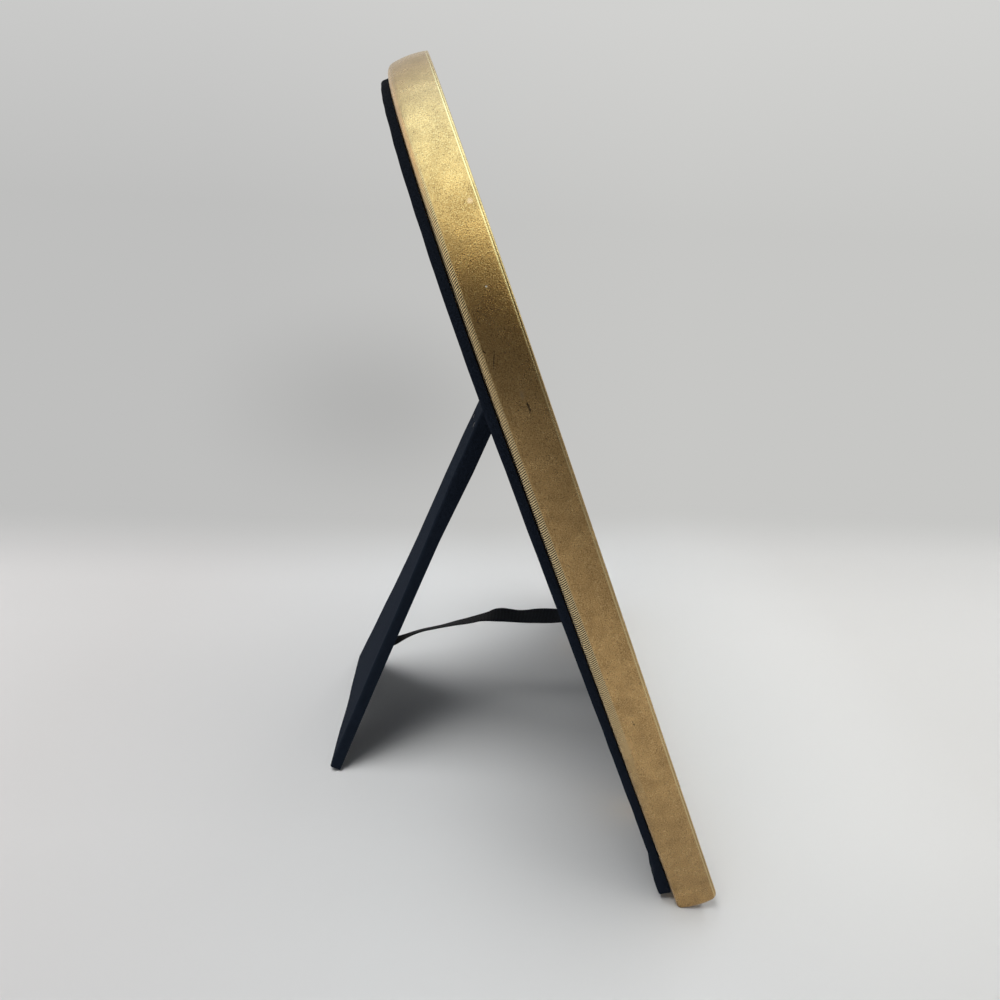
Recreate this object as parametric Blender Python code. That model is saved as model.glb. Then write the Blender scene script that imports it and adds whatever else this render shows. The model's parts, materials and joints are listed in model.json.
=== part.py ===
"""Arched tabletop photo frame with a velvet-covered easel back, standing on its leg.

The frame is drawn upright and flat: X runs across it, Z up its height and Y back through it,
with Y = 0 on the moulding's rear face. One parent empty then leans it back until the moulding
and the foot of the leg both stand on Z = 0. The leg hangs from a second empty on its hinge pin.
"""

import math

import bmesh
import bpy
from mathutils import Vector

# Moulding
FRAME_WIDTH = 0.151
FRAME_HEIGHT = 0.204
RIM_DEPTH = 0.0101
WALL_CROWN_RADIUS = 0.024
HEAD_REAR_ROUND = 0.0020
FOOT_REAR_ROUND = 0.0010
BEAD_RADIUS = 0.0004
BEAD_WRAP = 25
QUIRK_WIDTH = 0.00015
BOTTOM_CORNER = 0.0006
BORDER_WIDTH = 0.0100
SIGHT_WIDTH = 0.0144
STEP_DROP = 0.0004
BEVEL_DROP = 0.0011
LIP_THICKNESS = 0.0025
REBATE_WIDTH = 0.0030

# Clearances
SEAT_GAP = 0.0003
FASTENER_GAP = 0.0002
RUNNING_GAP = 0.0001
DOOR_GAP = 0.0004

# What the rebate holds, front to back
GLASS_THICKNESS = 0.0020
INSERT_THICKNESS = 0.0003
FILLER_THICKNESS = 0.0026
LINING_THICKNESS = 0.0003

# Velvet-covered back
BACK_THICKNESS = 0.0023
BACK_INSET = 0.0027
BACK_FOOT_RAISE = 0.0007
VELVET_THICKNESS = 0.0006
VELVET_ROUND = 0.0004
GATHER_HEIGHT = 0.0010
GATHER_REACH = 0.0090
DOOR_BOARD_THICKNESS = 0.0024

# Easel leg
HINGE_HEIGHT = 0.1168
OPENING_ANGLE = math.radians(44.25)
LEG_LENGTH = 0.11215
LEG_THICKNESS = 0.0032
LEG_TOP_WIDTH = 0.0208
LEG_FOOT_WIDTH = 0.0590
LEG_FLARE_CURVE = 0.65
LEG_HEAD_CORNER = 0.0025
LEG_FOOT_CORNER = 0.0008
FOOT_PAD = 0.0085
FOOT_ARCH = 0.0018
LEG_LINING_THICKNESS = 0.0004

# Leg hinge
LEAF_WIDTH = 0.0170
LEAF_LENGTH = 0.0100
LEAF_THICKNESS = 0.0006
LEAF_CORNER = 0.0015
BARREL_RADIUS = 0.0014
PIN_RADIUS = 0.0008
PIN_OVERHANG = 0.0004
MIDDLE_KNUCKLE = 0.0064
LEAF_HOLE_SPREAD = 0.0095
LEAF_HOLE_DROP = 0.0068
RIVET_HEAD_RADIUS = 0.0019
RIVET_HEAD_HEIGHT = 0.0007
RIVET_SHANK_RADIUS = 0.0010

# Turn buttons
BUTTON_THICKNESS = 0.0007
BUTTON_PIVOT_RADIUS = 0.0040
BUTTON_TIP_RADIUS = 0.0027
BUTTON_REACH = 0.0115
BUTTON_SIDE_INSET = 0.0325
SCREW_SHANK_RADIUS = 0.0010
SCREW_HEAD_RADIUS = 0.0021
SCREW_HEAD_HEIGHT = 0.0008
SCREW_DEPTH = 0.0048
SLOT_WIDTH = 0.0004
SLOT_DEPTH = 0.0003

# Ribbon stay
RIBBON_WIDTH = 0.0064
RIBBON_THICKNESS = 0.0004
RIBBON_DOOR_HEIGHT = 0.0433
RIBBON_LEG_REACH = 0.0852
RIBBON_TAIL = 0.0012
RIBBON_LIFT = 0.0040
RIBBON_STEPS = 40
# Share of the way from the door to the leg, share of the lift above the straight line, turn in degrees
RIBBON_BENDS = (
    (0.10, 0.025, -6),
    (0.28, 0.450, -4),
    (0.39, 0.900, -9),
    (0.48, 0.950, 12),
    (0.61, 0.750, 26),
    (0.74, 0.500, 30),
    (0.87, 0.225, 27),
    (0.95, 0.000, 8),
)

# Facets
ARCH_STEPS = 60
CORNER_STEPS = 3
ROUND_STEPS = 4
LEG_SIDE_STEPS = 10
TURNED_STEPS = 20

# Planes, counted back from the moulding's rear face
BACK_FACE = BACK_THICKNESS
VELVET_INNER = BACK_FACE - VELVET_THICKNESS
BOARD_BACK = VELVET_INNER - SEAT_GAP
REBATE_FLOOR = LIP_THICKNESS - RIM_DEPTH
GLASS_FRONT = REBATE_FLOOR + FASTENER_GAP
GLASS_BACK = GLASS_FRONT + GLASS_THICKNESS
INSERT_FRONT = GLASS_BACK + SEAT_GAP
INSERT_BACK = INSERT_FRONT + INSERT_THICKNESS
FILLER_FRONT = INSERT_BACK + SEAT_GAP
FILLER_BACK = FILLER_FRONT + FILLER_THICKNESS
DOOR_BOARD_FRONT = BOARD_BACK - DOOR_BOARD_THICKNESS
LINING_BACK = DOOR_BOARD_FRONT - SEAT_GAP
LINING_FRONT = LINING_BACK - LINING_THICKNESS

# Insets from the moulding's outline
REBATE_INSET = SIGHT_WIDTH - REBATE_WIDTH
DOOR_INSET = REBATE_INSET + DOOR_GAP
RING_MIDDLE = (BACK_INSET + REBATE_INSET) / 2

# Hinge and leg planes; the leg's are counted from the pin, with the leg folded flat
PIN_BACK = BACK_FACE + SEAT_GAP + BARREL_RADIUS
LEAF_FRONT = -BARREL_RADIUS
LEAF_BACK = LEAF_FRONT + LEAF_THICKNESS
LEG_FRONT = LEAF_BACK + SEAT_GAP
LEG_BACK = LEG_FRONT + LEG_THICKNESS
LEG_TOP = -(BARREL_RADIUS + SEAT_GAP)
LEG_BOTTOM = LEG_TOP - LEG_LENGTH


def crown_inset(back):
    """How far the moulding's bowed outer wall has fallen in at a depth."""
    off_middle = back + RIM_DEPTH / 2
    return WALL_CROWN_RADIUS - math.sqrt(WALL_CROWN_RADIUS ** 2 - off_middle ** 2)


def rear_round_centre(radius):
    """Inset of the rear round's centre, and the slope at which the round runs into the wall."""
    slope = math.asin((RIM_DEPTH / 2 - radius) / (WALL_CROWN_RADIUS - radius))
    return WALL_CROWN_RADIUS - (WALL_CROWN_RADIUS - radius) * math.cos(slope), slope


def lean_angle():
    """The lean at which the moulding's rear round and the leg's foot stand on one floor."""
    foot_back = PIN_BACK + LEG_FRONT * math.cos(OPENING_ANGLE) - LEG_BOTTOM * math.sin(OPENING_ANGLE)
    foot_up = HINGE_HEIGHT + LEG_FRONT * math.sin(OPENING_ANGLE) + LEG_BOTTOM * math.cos(OPENING_ANGLE)
    across = foot_up - ROUND_INSET
    along = foot_back + FOOT_REAR_ROUND
    return math.acos(-FOOT_REAR_ROUND / math.hypot(across, along)) - math.atan2(along, across)


ROUND_INSET = rear_round_centre(FOOT_REAR_ROUND)[0]
LEAN = lean_angle()
FLOOR_LIFT = FOOT_REAR_ROUND * (math.sin(LEAN) - 1) + ROUND_INSET * math.cos(LEAN)
LEG_SLOPE = OPENING_ANGLE - LEAN
FOOT_BACK = (
    PIN_BACK * math.cos(LEAN) + HINGE_HEIGHT * math.sin(LEAN)
    + LEG_BACK * math.cos(LEG_SLOPE) - LEG_BOTTOM * math.sin(LEG_SLOPE)
)
BEAD_INSET = crown_inset(BEAD_RADIUS - RIM_DEPTH) + BEAD_RADIUS
RIM_FRONT = (BEAD_RADIUS - RIM_DEPTH) * math.cos(LEAN) + BEAD_INSET * math.sin(LEAN) - BEAD_RADIUS
STAND_MIDDLE = (FOOT_BACK + RIM_FRONT) / 2


def make_material(name, colour, metallic, roughness, transmission=0.0):
    """A plain finish in the piece's own colour."""
    material = bpy.data.materials.new(name)
    material.use_nodes = True
    shader = material.node_tree.nodes["Principled BSDF"]
    shader.inputs["Base Color"].default_value = (*colour, 1.0)
    shader.inputs["Metallic"].default_value = metallic
    shader.inputs["Roughness"].default_value = roughness
    shader.inputs["Transmission Weight"].default_value = transmission
    material.diffuse_color = (*colour, 1.0)
    return material


def make_empty(name, parent=None):
    empty = bpy.data.objects.new(name, None)
    empty.parent = parent
    bpy.context.scene.collection.objects.link(empty)
    return empty


def add_object(name, bm, material, parent, origin=(0.0, 0.0, 0.0)):
    """Links a finished mesh, smooth where it is round and sharp at its edges."""
    bm.normal_update()
    bmesh.ops.recalc_face_normals(bm, faces=bm.faces)
    mesh = bpy.data.meshes.new(name)
    bm.to_mesh(mesh)
    bm.free()
    mesh.shade_smooth()
    mesh.set_sharp_from_angle(angle=math.radians(35))
    if material is not None:
        mesh.materials.append(material)
    thing = bpy.data.objects.new(name, mesh)
    thing.parent = parent
    thing.location = origin
    bpy.context.scene.collection.objects.link(thing)
    return thing


def arc(centre, radius, start, end, steps):
    """Points on a round corner, both ends included, angles in degrees."""
    points = []
    for step in range(steps + 1):
        angle = math.radians(start + (end - start) * step / steps)
        points.append((centre[0] + radius * math.cos(angle), centre[1] + radius * math.sin(angle)))
    return points


def arch_outline(inset, reaches=()):
    """The frame's outline moved inwards: flat bottom, upright sides and a half-round head.

    The reaches, longest first, put more points on its straight lines beside the lower corners.
    """
    half = FRAME_WIDTH / 2 - inset
    spring = FRAME_HEIGHT - FRAME_WIDTH / 2
    corner = max(BOTTOM_CORNER - inset, SEAT_GAP)
    low = inset + corner
    points = [(half - reach, inset) for reach in reaches]
    points += arc((half - corner, low), corner, -90, 0, CORNER_STEPS)
    points += [(half, inset + reach) for reach in reversed(reaches)]
    points += arc((0.0, spring), half, 0, 180, ARCH_STEPS)
    points += [(-half, inset + reach) for reach in reaches]
    points += arc((corner - half, low), corner, 180, 270, CORNER_STEPS)
    points += [(reach - half, inset) for reach in reversed(reaches)]
    return points


def gathered_outline(inset):
    return arch_outline(inset, (GATHER_REACH, GATHER_REACH * 2 / 3))


def leg_outline(inset):
    """The leg's outline moved inwards: narrow head, flared sides and a foot arched between two pads."""
    half_top = LEG_TOP_WIDTH / 2
    spread = (LEG_FOOT_WIDTH - LEG_TOP_WIDTH) / 2
    side = []
    for step in range(1, LEG_SIDE_STEPS):
        share = step / LEG_SIDE_STEPS
        flare = (1 - LEG_FLARE_CURVE) * share + LEG_FLARE_CURVE * share ** 2
        side.append((half_top + spread * flare, LEG_TOP - LEG_LENGTH * share))
    half_foot = LEG_FOOT_WIDTH / 2
    half_arch = half_foot - FOOT_PAD
    round_head = LEG_HEAD_CORNER
    round_foot = max(LEG_FOOT_CORNER, inset + SEAT_GAP)
    right = arc((half_top - round_head, LEG_TOP - round_head), round_head, 90, 0, CORNER_STEPS)
    right += side
    right += arc((half_foot - round_foot, LEG_BOTTOM + round_foot), round_foot, 0, -90, CORNER_STEPS)
    arch = []
    for step in range(LEG_SIDE_STEPS + 1):
        share = step / LEG_SIDE_STEPS
        rise = FOOT_ARCH * math.sin(math.pi * share) ** 2
        arch.append((half_arch * (1 - 2 * share), LEG_BOTTOM + rise))
    left = [(-x, z) for x, z in reversed(right)]
    return move_inwards(right + arch + left, inset)


def move_inwards(points, inset):
    """Moves a clockwise outline inwards along the half-angle at each of its points."""
    moved = []
    count = len(points)
    for index, (x, z) in enumerate(points):
        before = Vector((x - points[index - 1][0], z - points[index - 1][1])).normalized()
        after_x, after_z = points[(index + 1) % count]
        after = Vector((after_x - x, after_z - z)).normalized()
        normal = Vector((before.y + after.y, -before.x - after.x)).normalized()
        reach = inset / max(0.5, normal.dot(Vector((after.y, -after.x))))
        moved.append((x + normal.x * reach, z + normal.y * reach))
    return moved


def sweep(outline, profile, capped):
    """Joins the outline, moved in and set back as each profile point says, into one solid.

    A capped solid is closed over its first and last outline; the others run round a window.
    """
    bm = bmesh.new()
    rings = []
    for inset, back in profile:
        rings.append([bm.verts.new((x, back, z)) for x, z in outline(inset)])
    count = len(rings[0])
    last = len(rings) - 1 if capped else len(rings)
    for ring in range(last):
        here = rings[ring]
        there = rings[(ring + 1) % len(rings)]
        for point in range(count):
            after = (point + 1) % count
            bm.faces.new((here[point], here[after], there[after], there[point]))
    if capped:
        bm.faces.new(rings[0])
        bm.faces.new(rings[-1])
    return bm


def slab(outline, inset, front, back):
    """A flat sheet of the outline, between two planes."""
    return sweep(outline, [(inset, front), (inset, back)], capped=True)


def tray(outline, inset, front, back):
    """A cloth cover drawn over a board: a flat back with a skirt round the edge, open at the front."""
    wall = inset + VELVET_THICKNESS
    profile = [(inset + VELVET_ROUND, back)]
    profile += [(inset, back - VELVET_ROUND), (inset, front)]
    profile += [(wall, front), (wall, back - VELVET_THICKNESS)]
    return sweep(outline, profile, capped=True)


def turn(profile, centre, steps=TURNED_STEPS, bm=None):
    """A turned solid about an axis along Y, from (radius, back) points that start and end at radius 0."""
    bm = bm or bmesh.new()
    ends = [bm.verts.new((centre[0], profile[place][1], centre[1])) for place in (0, -1)]
    rings = []
    for radius, back in profile[1:-1]:
        ring = []
        for step in range(steps):
            angle = 2 * math.pi * step / steps
            ring.append(bm.verts.new(
                (centre[0] + radius * math.cos(angle), back, centre[1] + radius * math.sin(angle))))
        rings.append(ring)
    for step in range(steps):
        after = (step + 1) % steps
        bm.faces.new((ends[0], rings[0][step], rings[0][after]))
        bm.faces.new((ends[1], rings[-1][after], rings[-1][step]))
        for here, there in zip(rings, rings[1:]):
            bm.faces.new((here[step], there[step], there[after], here[after]))
    return bm


def box(size, centre):
    """A plain block, for a union or a cut."""
    bm = bmesh.new()
    bmesh.ops.create_cube(bm, size=1.0)
    bmesh.ops.scale(bm, vec=size, verts=bm.verts)
    bmesh.ops.translate(bm, vec=centre, verts=bm.verts)
    return bm


def rod(radius, length, centre, steps=TURNED_STEPS):
    """A round bar along X."""
    bm = bmesh.new()
    bmesh.ops.create_cone(
        bm, cap_ends=True, segments=steps, radius1=radius, radius2=radius, depth=length)
    for vert in bm.verts:
        x, y, z = vert.co
        vert.co = (z + centre[0], x + centre[1], y + centre[2])
    bm.normal_update()
    return bm


def guide(name, bm, parent):
    """A shape that only cuts or joins another one."""
    thing = add_object(name, bm, None, parent)
    thing.hide_render = True
    thing.display_type = 'WIRE'
    return thing


def combine(thing, operation, other):
    """Unites a piece with a guide, or cuts it by one."""
    modifier = thing.modifiers.new(other.name, 'BOOLEAN')
    modifier.operation = operation
    modifier.solver = 'EXACT'
    modifier.object = other


def drill(things, name, parent, centres, radius, front, back, counterbore=None):
    """Round holes along Y at the same centres through several pieces.

    A counterbore is a wider radius and the depth that it reaches from the front.
    """
    profile = [(0.0, front), (radius, front), (radius, back), (0.0, back)]
    if counterbore is not None:
        wide, depth = counterbore
        profile[1:2] = [(wide, front), (wide, depth), (radius, depth)]
    bm = bmesh.new()
    for centre in centres:
        turn(profile, centre, bm=bm)
    cutter = guide(name, bm, parent)
    for thing in things:
        combine(thing, 'DIFFERENCE', cutter)


def dome(radius, height, base, steps=ROUND_STEPS):
    """The profile of a round head, from its rim up to its crown."""
    points = []
    for step in range(steps):
        angle = math.pi / 2 * step / steps
        points.append((radius * math.cos(angle), base + height * math.sin(angle)))
    points.append((0.0, base + height))
    return points


def rim_profile(rear_round):
    """The moulding's section: a bead and quirk at the front, a bowed wall and a rounded rear edge."""
    front = -RIM_DEPTH
    sight = front + STEP_DROP + BEVEL_DROP
    bead = (BEAD_INSET, front + BEAD_RADIUS)
    profile = arc(bead, BEAD_RADIUS, 180 - BEAD_WRAP, 270, ROUND_STEPS + 1)
    profile += [(BORDER_WIDTH, front), (BORDER_WIDTH + STEP_DROP, front + STEP_DROP)]
    profile += [(SIGHT_WIDTH - STEP_DROP, sight), (SIGHT_WIDTH, sight + STEP_DROP)]
    profile += [(SIGHT_WIDTH, REBATE_FLOOR), (REBATE_INSET, REBATE_FLOOR), (REBATE_INSET, 0.0)]
    middle, slope = rear_round_centre(rear_round)
    profile += arc((middle, -rear_round), rear_round, 90, 180 - math.degrees(slope), ROUND_STEPS)
    wall_rear = profile[-1][1]
    wall_front = profile[0][1] + QUIRK_WIDTH
    for step in range(1, ROUND_STEPS + 1):
        back = wall_rear + (wall_front - wall_rear) * step / ROUND_STEPS
        profile.append((crown_inset(back), back))
    return profile


def make_rim(material, parent):
    """The gilt moulding; its rear edge is rounder over the head than at the foot."""
    spring = FRAME_HEIGHT - FRAME_WIDTH / 2
    bm = bmesh.new()
    columns = []
    for index, (across, height) in enumerate(arch_outline(0.0)):
        share = min(1.0, height / spring)
        profile = rim_profile(FOOT_REAR_ROUND + (HEAD_REAR_ROUND - FOOT_REAR_ROUND) * share)
        column = []
        for inset, back in profile:
            x, z = arch_outline(inset)[index]
            column.append(bm.verts.new((x, back, z)))
        columns.append(column)
    for place, here in enumerate(columns):
        there = columns[(place + 1) % len(columns)]
        for point in range(len(here)):
            after = (point + 1) % len(here)
            bm.faces.new((here[point], here[after], there[after], there[point]))
    return add_object("rim_moulding", bm, material, parent)


def make_contents(glass, paper, card, parent):
    """The glass, the plain sheet behind it and the card that packs them against the door."""
    fit = REBATE_INSET + SEAT_GAP
    add_object("glass_pane", slab(arch_outline, fit, GLASS_FRONT, GLASS_BACK), glass, parent)
    add_object("paper_insert", slab(arch_outline, fit, INSERT_FRONT, INSERT_BACK), paper, parent)
    add_object("filler_card", slab(arch_outline, fit, FILLER_FRONT, FILLER_BACK), card, parent)


def raise_foot(bm):
    """Lifts the outer bottom edge of the back, which stops a little higher than its sides stand in."""
    for vert in bm.verts:
        if vert.co.z < REBATE_INSET / 2:
            vert.co.z += BACK_FOOT_RAISE


def make_ring(board, velvet, parent):
    """The fixed border of the back: a board ring with velvet drawn over both of its edges.

    The cloth is gathered, and so a little thicker, at the two lower corners.
    """
    front = SEAT_GAP
    outer = BACK_INSET + VELVET_THICKNESS
    inner = REBATE_INSET - VELVET_THICKNESS
    cover = [(BACK_INSET, front), (BACK_INSET, BACK_FACE - VELVET_ROUND)]
    cover += [(BACK_INSET + VELVET_ROUND, BACK_FACE), (REBATE_INSET - VELVET_ROUND, BACK_FACE)]
    cover += [(REBATE_INSET, BACK_FACE - VELVET_ROUND), (REBATE_INSET, front)]
    cover += [(inner, front), (inner, VELVET_INNER), (outer, VELVET_INNER), (outer, front)]
    core = [(outer + SEAT_GAP, front), (outer + SEAT_GAP, BOARD_BACK)]
    core += [(inner - SEAT_GAP, BOARD_BACK), (inner - SEAT_GAP, front)]
    cloth = sweep(gathered_outline, cover, capped=False)
    raise_foot(cloth)
    for vert in cloth.verts:
        if vert.co.y > VELVET_INNER + SEAT_GAP / 2:
            off_corner = max(FRAME_WIDTH / 2 - abs(vert.co.x), vert.co.z) - BACK_INSET
            share = min(1.0, max(0.0, 3 * (1 - off_corner / GATHER_REACH)))
            vert.co.y += GATHER_HEIGHT * share
    ring_velvet = add_object("back_ring_velvet", cloth, velvet, parent)
    board_ring = sweep(arch_outline, core, capped=False)
    raise_foot(board_ring)
    ring_board = add_object("back_ring_board", board_ring, board, parent)
    return ring_velvet, ring_board


def make_door(board, velvet, lining, parent):
    """The lift-out door: a board in a velvet cover, lined with paper on the photo side."""
    core = DOOR_INSET + VELVET_THICKNESS + SEAT_GAP
    cover = tray(arch_outline, DOOR_INSET, DOOR_BOARD_FRONT, BACK_FACE)
    door_velvet = add_object("door_velvet", cover, velvet, parent)
    door_board = add_object(
        "door_board", slab(arch_outline, core, DOOR_BOARD_FRONT, BOARD_BACK), board, parent)
    add_object("door_lining", slab(arch_outline, DOOR_INSET, LINING_FRONT, LINING_BACK), lining, parent)
    return door_velvet, door_board


def button_outline(inset):
    """A turn button in plan, pivot at the centre and tip below, clockwise from the pivot's left."""
    slope = math.degrees(math.asin((BUTTON_PIVOT_RADIUS - BUTTON_TIP_RADIUS) / BUTTON_REACH))
    points = arc((0.0, 0.0), BUTTON_PIVOT_RADIUS - inset, 180 + slope, -slope, 12)
    points += arc((0.0, -BUTTON_REACH), BUTTON_TIP_RADIUS - inset, -slope, slope - 180, 8)
    return points


def make_buttons(brass, steel, parent, fixed):
    """Three turn buttons on the ring, each on a slotted round-head screw into the moulding."""
    front = BACK_FACE + FASTENER_GAP
    back = front + BUTTON_THICKNESS
    edge = BUTTON_THICKNESS / 3
    hole = SCREW_SHANK_RADIUS + FASTENER_GAP
    profile = [(edge, front), (0.0, front + edge), (0.0, back - edge), (edge, back)]
    places = {
        "top": (0.0, FRAME_HEIGHT - RING_MIDDLE, 0.0),
        "left": (BUTTON_SIDE_INSET - FRAME_WIDTH / 2, RING_MIDDLE, math.pi),
        "right": (FRAME_WIDTH / 2 - BUTTON_SIDE_INSET, RING_MIDDLE, math.pi),
    }
    for side, (across, height, turned) in places.items():
        pivot = make_empty("turn_button_" + side + "_pivot", parent)
        pivot.location = (across, 0.0, height)
        pivot.rotation_euler = (0.0, turned, 0.0)
        button = add_object(
            "turn_button_" + side, sweep(button_outline, profile, capped=True), brass, pivot)
        drill([button], "turn_button_" + side + "_hole", pivot, [(0.0, 0.0)],
              SCREW_SHANK_RADIUS + RUNNING_GAP, front - FASTENER_GAP, back + FASTENER_GAP)
    centres = [(across, height) for across, height, turned in places.values()]
    drill(fixed, "turn_button_screw_holes", parent, centres, hole,
          -SCREW_DEPTH - FASTENER_GAP, BACK_FACE + FASTENER_GAP)
    base = back + FASTENER_GAP
    shank = SCREW_SHANK_RADIUS
    profile = [(0.0, -SCREW_DEPTH), (shank * 0.3, -SCREW_DEPTH), (shank, -SCREW_DEPTH + 2 * shank)]
    profile += [(shank, base)] + dome(SCREW_HEAD_RADIUS, SCREW_HEAD_HEIGHT, base)
    for side, centre in zip(places, centres):
        screw = add_object("turn_button_screw_" + side, turn(profile, centre), steel, parent)
        slot = box((SLOT_WIDTH, 2 * SLOT_DEPTH, 3 * SCREW_HEAD_RADIUS),
                   (centre[0], base + SCREW_HEAD_HEIGHT, centre[1]))
        combine(screw, 'DIFFERENCE', guide("turn_button_slot_" + side, slot, parent))


def make_leaf(name, steel, parent, side, knuckles):
    """One leaf of the hinge with its own knuckles, side +1 above the pin and -1 below it."""
    neck = BARREL_RADIUS + SEAT_GAP
    middle = (LEAF_FRONT + LEAF_BACK) / 2
    plate = box((LEAF_WIDTH, LEAF_THICKNESS, LEAF_LENGTH),
                (0.0, middle, side * (neck + LEAF_LENGTH / 2)))
    far = side * (neck + LEAF_LENGTH)
    corners = [edge for edge in plate.edges
               if all(abs(vert.co.z - far) < SEAT_GAP for vert in edge.verts)
               and abs(edge.verts[0].co.x - edge.verts[1].co.x) < SEAT_GAP]
    bmesh.ops.bevel(plate, geom=corners, offset=LEAF_CORNER, segments=3, affect='EDGES', profile=0.5)
    leaf = add_object(name, plate, steel, parent)
    for index, (centre, length) in enumerate(knuckles):
        joiner = guide(f"{name}_neck_{index}", box(
            (length, LEAF_THICKNESS, neck + LEAF_THICKNESS),
            (centre, middle, side * (neck + LEAF_THICKNESS) / 2)), parent)
        barrel = guide(f"{name}_barrel_{index}", rod(BARREL_RADIUS, length, (centre, 0.0, 0.0)), parent)
        combine(leaf, 'UNION', joiner)
        combine(leaf, 'UNION', barrel)
    bore = guide(
        name + "_bore", rod(PIN_RADIUS + RUNNING_GAP, 2 * LEAF_WIDTH, (0.0, 0.0, 0.0)), parent)
    combine(leaf, 'DIFFERENCE', bore)
    return leaf


def rivets(name, material, parent, centres, base, end, tail=None):
    """Dome-headed rivets along Y: head on the plane base, shank running to the plane end."""
    shank = RIVET_SHANK_RADIUS
    profile = [(0.0, end), (shank, end), (shank, base)]
    if tail is not None:
        wide, thick = tail
        profile = [(0.0, end), (wide, end), (wide, end + thick), (shank, end + thick), (shank, base)]
    profile += dome(RIVET_HEAD_RADIUS, RIVET_HEAD_HEIGHT, base)
    for side, centre in zip(("left", "right"), centres):
        add_object(name + "_" + side, turn(profile, centre), material, parent)


def make_hinge(steel, hinge_pivot, leg_pivot, door_pieces, leg_pieces):
    """A three-knuckle hinge on its pin, riveted to the door above and to the leg below."""
    outer = (LEAF_WIDTH - MIDDLE_KNUCKLE) / 2 - SEAT_GAP
    place = (MIDDLE_KNUCKLE + outer) / 2 + SEAT_GAP
    door_leaf = make_leaf("hinge_leaf_door", steel, hinge_pivot, 1, [(-place, outer), (place, outer)])
    leg_leaf = make_leaf("hinge_leaf_leg", steel, leg_pivot, -1, [(0.0, MIDDLE_KNUCKLE)])
    pin = rod(PIN_RADIUS, LEAF_WIDTH + 2 * PIN_OVERHANG, (0.0, 0.0, 0.0))
    ends = [edge for edge in pin.edges if abs(edge.verts[0].co.x - edge.verts[1].co.x) < SEAT_GAP]
    bmesh.ops.bevel(pin, geom=ends, offset=PIN_RADIUS / 3, segments=1, affect='EDGES', profile=0.5)
    add_object("hinge_pin", pin, steel, hinge_pivot)

    hole = RIVET_SHANK_RADIUS + FASTENER_GAP
    wide = RIVET_HEAD_RADIUS
    sunk = 2 * FASTENER_GAP + LEAF_THICKNESS / 2
    to_board = DOOR_BOARD_FRONT - PIN_BACK
    high = [(across * LEAF_HOLE_SPREAD / 2, LEAF_HOLE_DROP) for across in (-1, 1)]
    drill([door_leaf] + door_pieces, "door_rivet_holes", hinge_pivot, high, hole,
          to_board - SEAT_GAP, LEAF_BACK + SEAT_GAP,
          counterbore=(wide + FASTENER_GAP, to_board + sunk + FASTENER_GAP))
    rivets("hinge_rivet_door", steel, hinge_pivot, high, LEAF_BACK + FASTENER_GAP,
           to_board + FASTENER_GAP, tail=(wide, sunk - FASTENER_GAP))

    low = [(across * LEAF_HOLE_SPREAD / 2, -LEAF_HOLE_DROP) for across in (-1, 1)]
    drill([leg_leaf] + leg_pieces, "leg_rivet_holes", leg_pivot, low, hole,
          LEAF_FRONT - SEAT_GAP, LEG_BACK + SEAT_GAP)
    rivets("hinge_rivet_leg", steel, leg_pivot, low, LEG_BACK + FASTENER_GAP, LEAF_FRONT)


def make_leg(board, velvet, lining, parent):
    """The easel leg: a flared board in a velvet cover, lined on the side that folds to the door."""
    cover = tray(leg_outline, 0.0, LEG_FRONT, LEG_BACK)
    leg_velvet = add_object("leg_velvet", cover, velvet, parent)
    fit = VELVET_THICKNESS + SEAT_GAP
    lining_back = LEG_FRONT + LEG_LINING_THICKNESS
    leg_board = add_object(
        "leg_board",
        slab(leg_outline, fit, lining_back + SEAT_GAP, LEG_BACK - VELVET_THICKNESS - SEAT_GAP),
        board, parent)
    leg_lining = add_object(
        "leg_lining", slab(leg_outline, fit, LEG_FRONT, lining_back), lining, parent)
    return leg_velvet, leg_board, leg_lining


def in_frame(leg_point):
    """A point of the leg, open as it stands, seen from the frame's own upright axes."""
    back, up = leg_point
    return Vector((
        PIN_BACK + back * math.cos(OPENING_ANGLE) - up * math.sin(OPENING_ANGLE),
        HINGE_HEIGHT + back * math.sin(OPENING_ANGLE) + up * math.cos(OPENING_ANGLE),
    ))


def ribbon_route():
    """The ribbon's middle line in the frame's Y and Z, with its turn about that line at each point."""
    start = Vector((BOARD_BACK - RIBBON_TAIL, RIBBON_DOOR_HEIGHT))
    outside = Vector((BACK_FACE + SEAT_GAP, RIBBON_DOOR_HEIGHT))
    inside = in_frame((LEG_FRONT - SEAT_GAP, -RIBBON_LEG_REACH))
    end = in_frame((LEG_FRONT + LEG_LINING_THICKNESS + SEAT_GAP + RIBBON_TAIL, -RIBBON_LEG_REACH))
    chord = inside - outside
    level = Vector((math.cos(LEAN), math.sin(LEAN)))
    upright = Vector((-level.y, level.x))
    route = [(start, 0.0), (outside, 0.0)]
    for share, lift, turned in RIBBON_BENDS:
        route.append((outside + chord * share + upright * lift * RIBBON_LIFT, math.radians(turned)))
    return route + [(inside, 0.0), (end, 0.0)]


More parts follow.
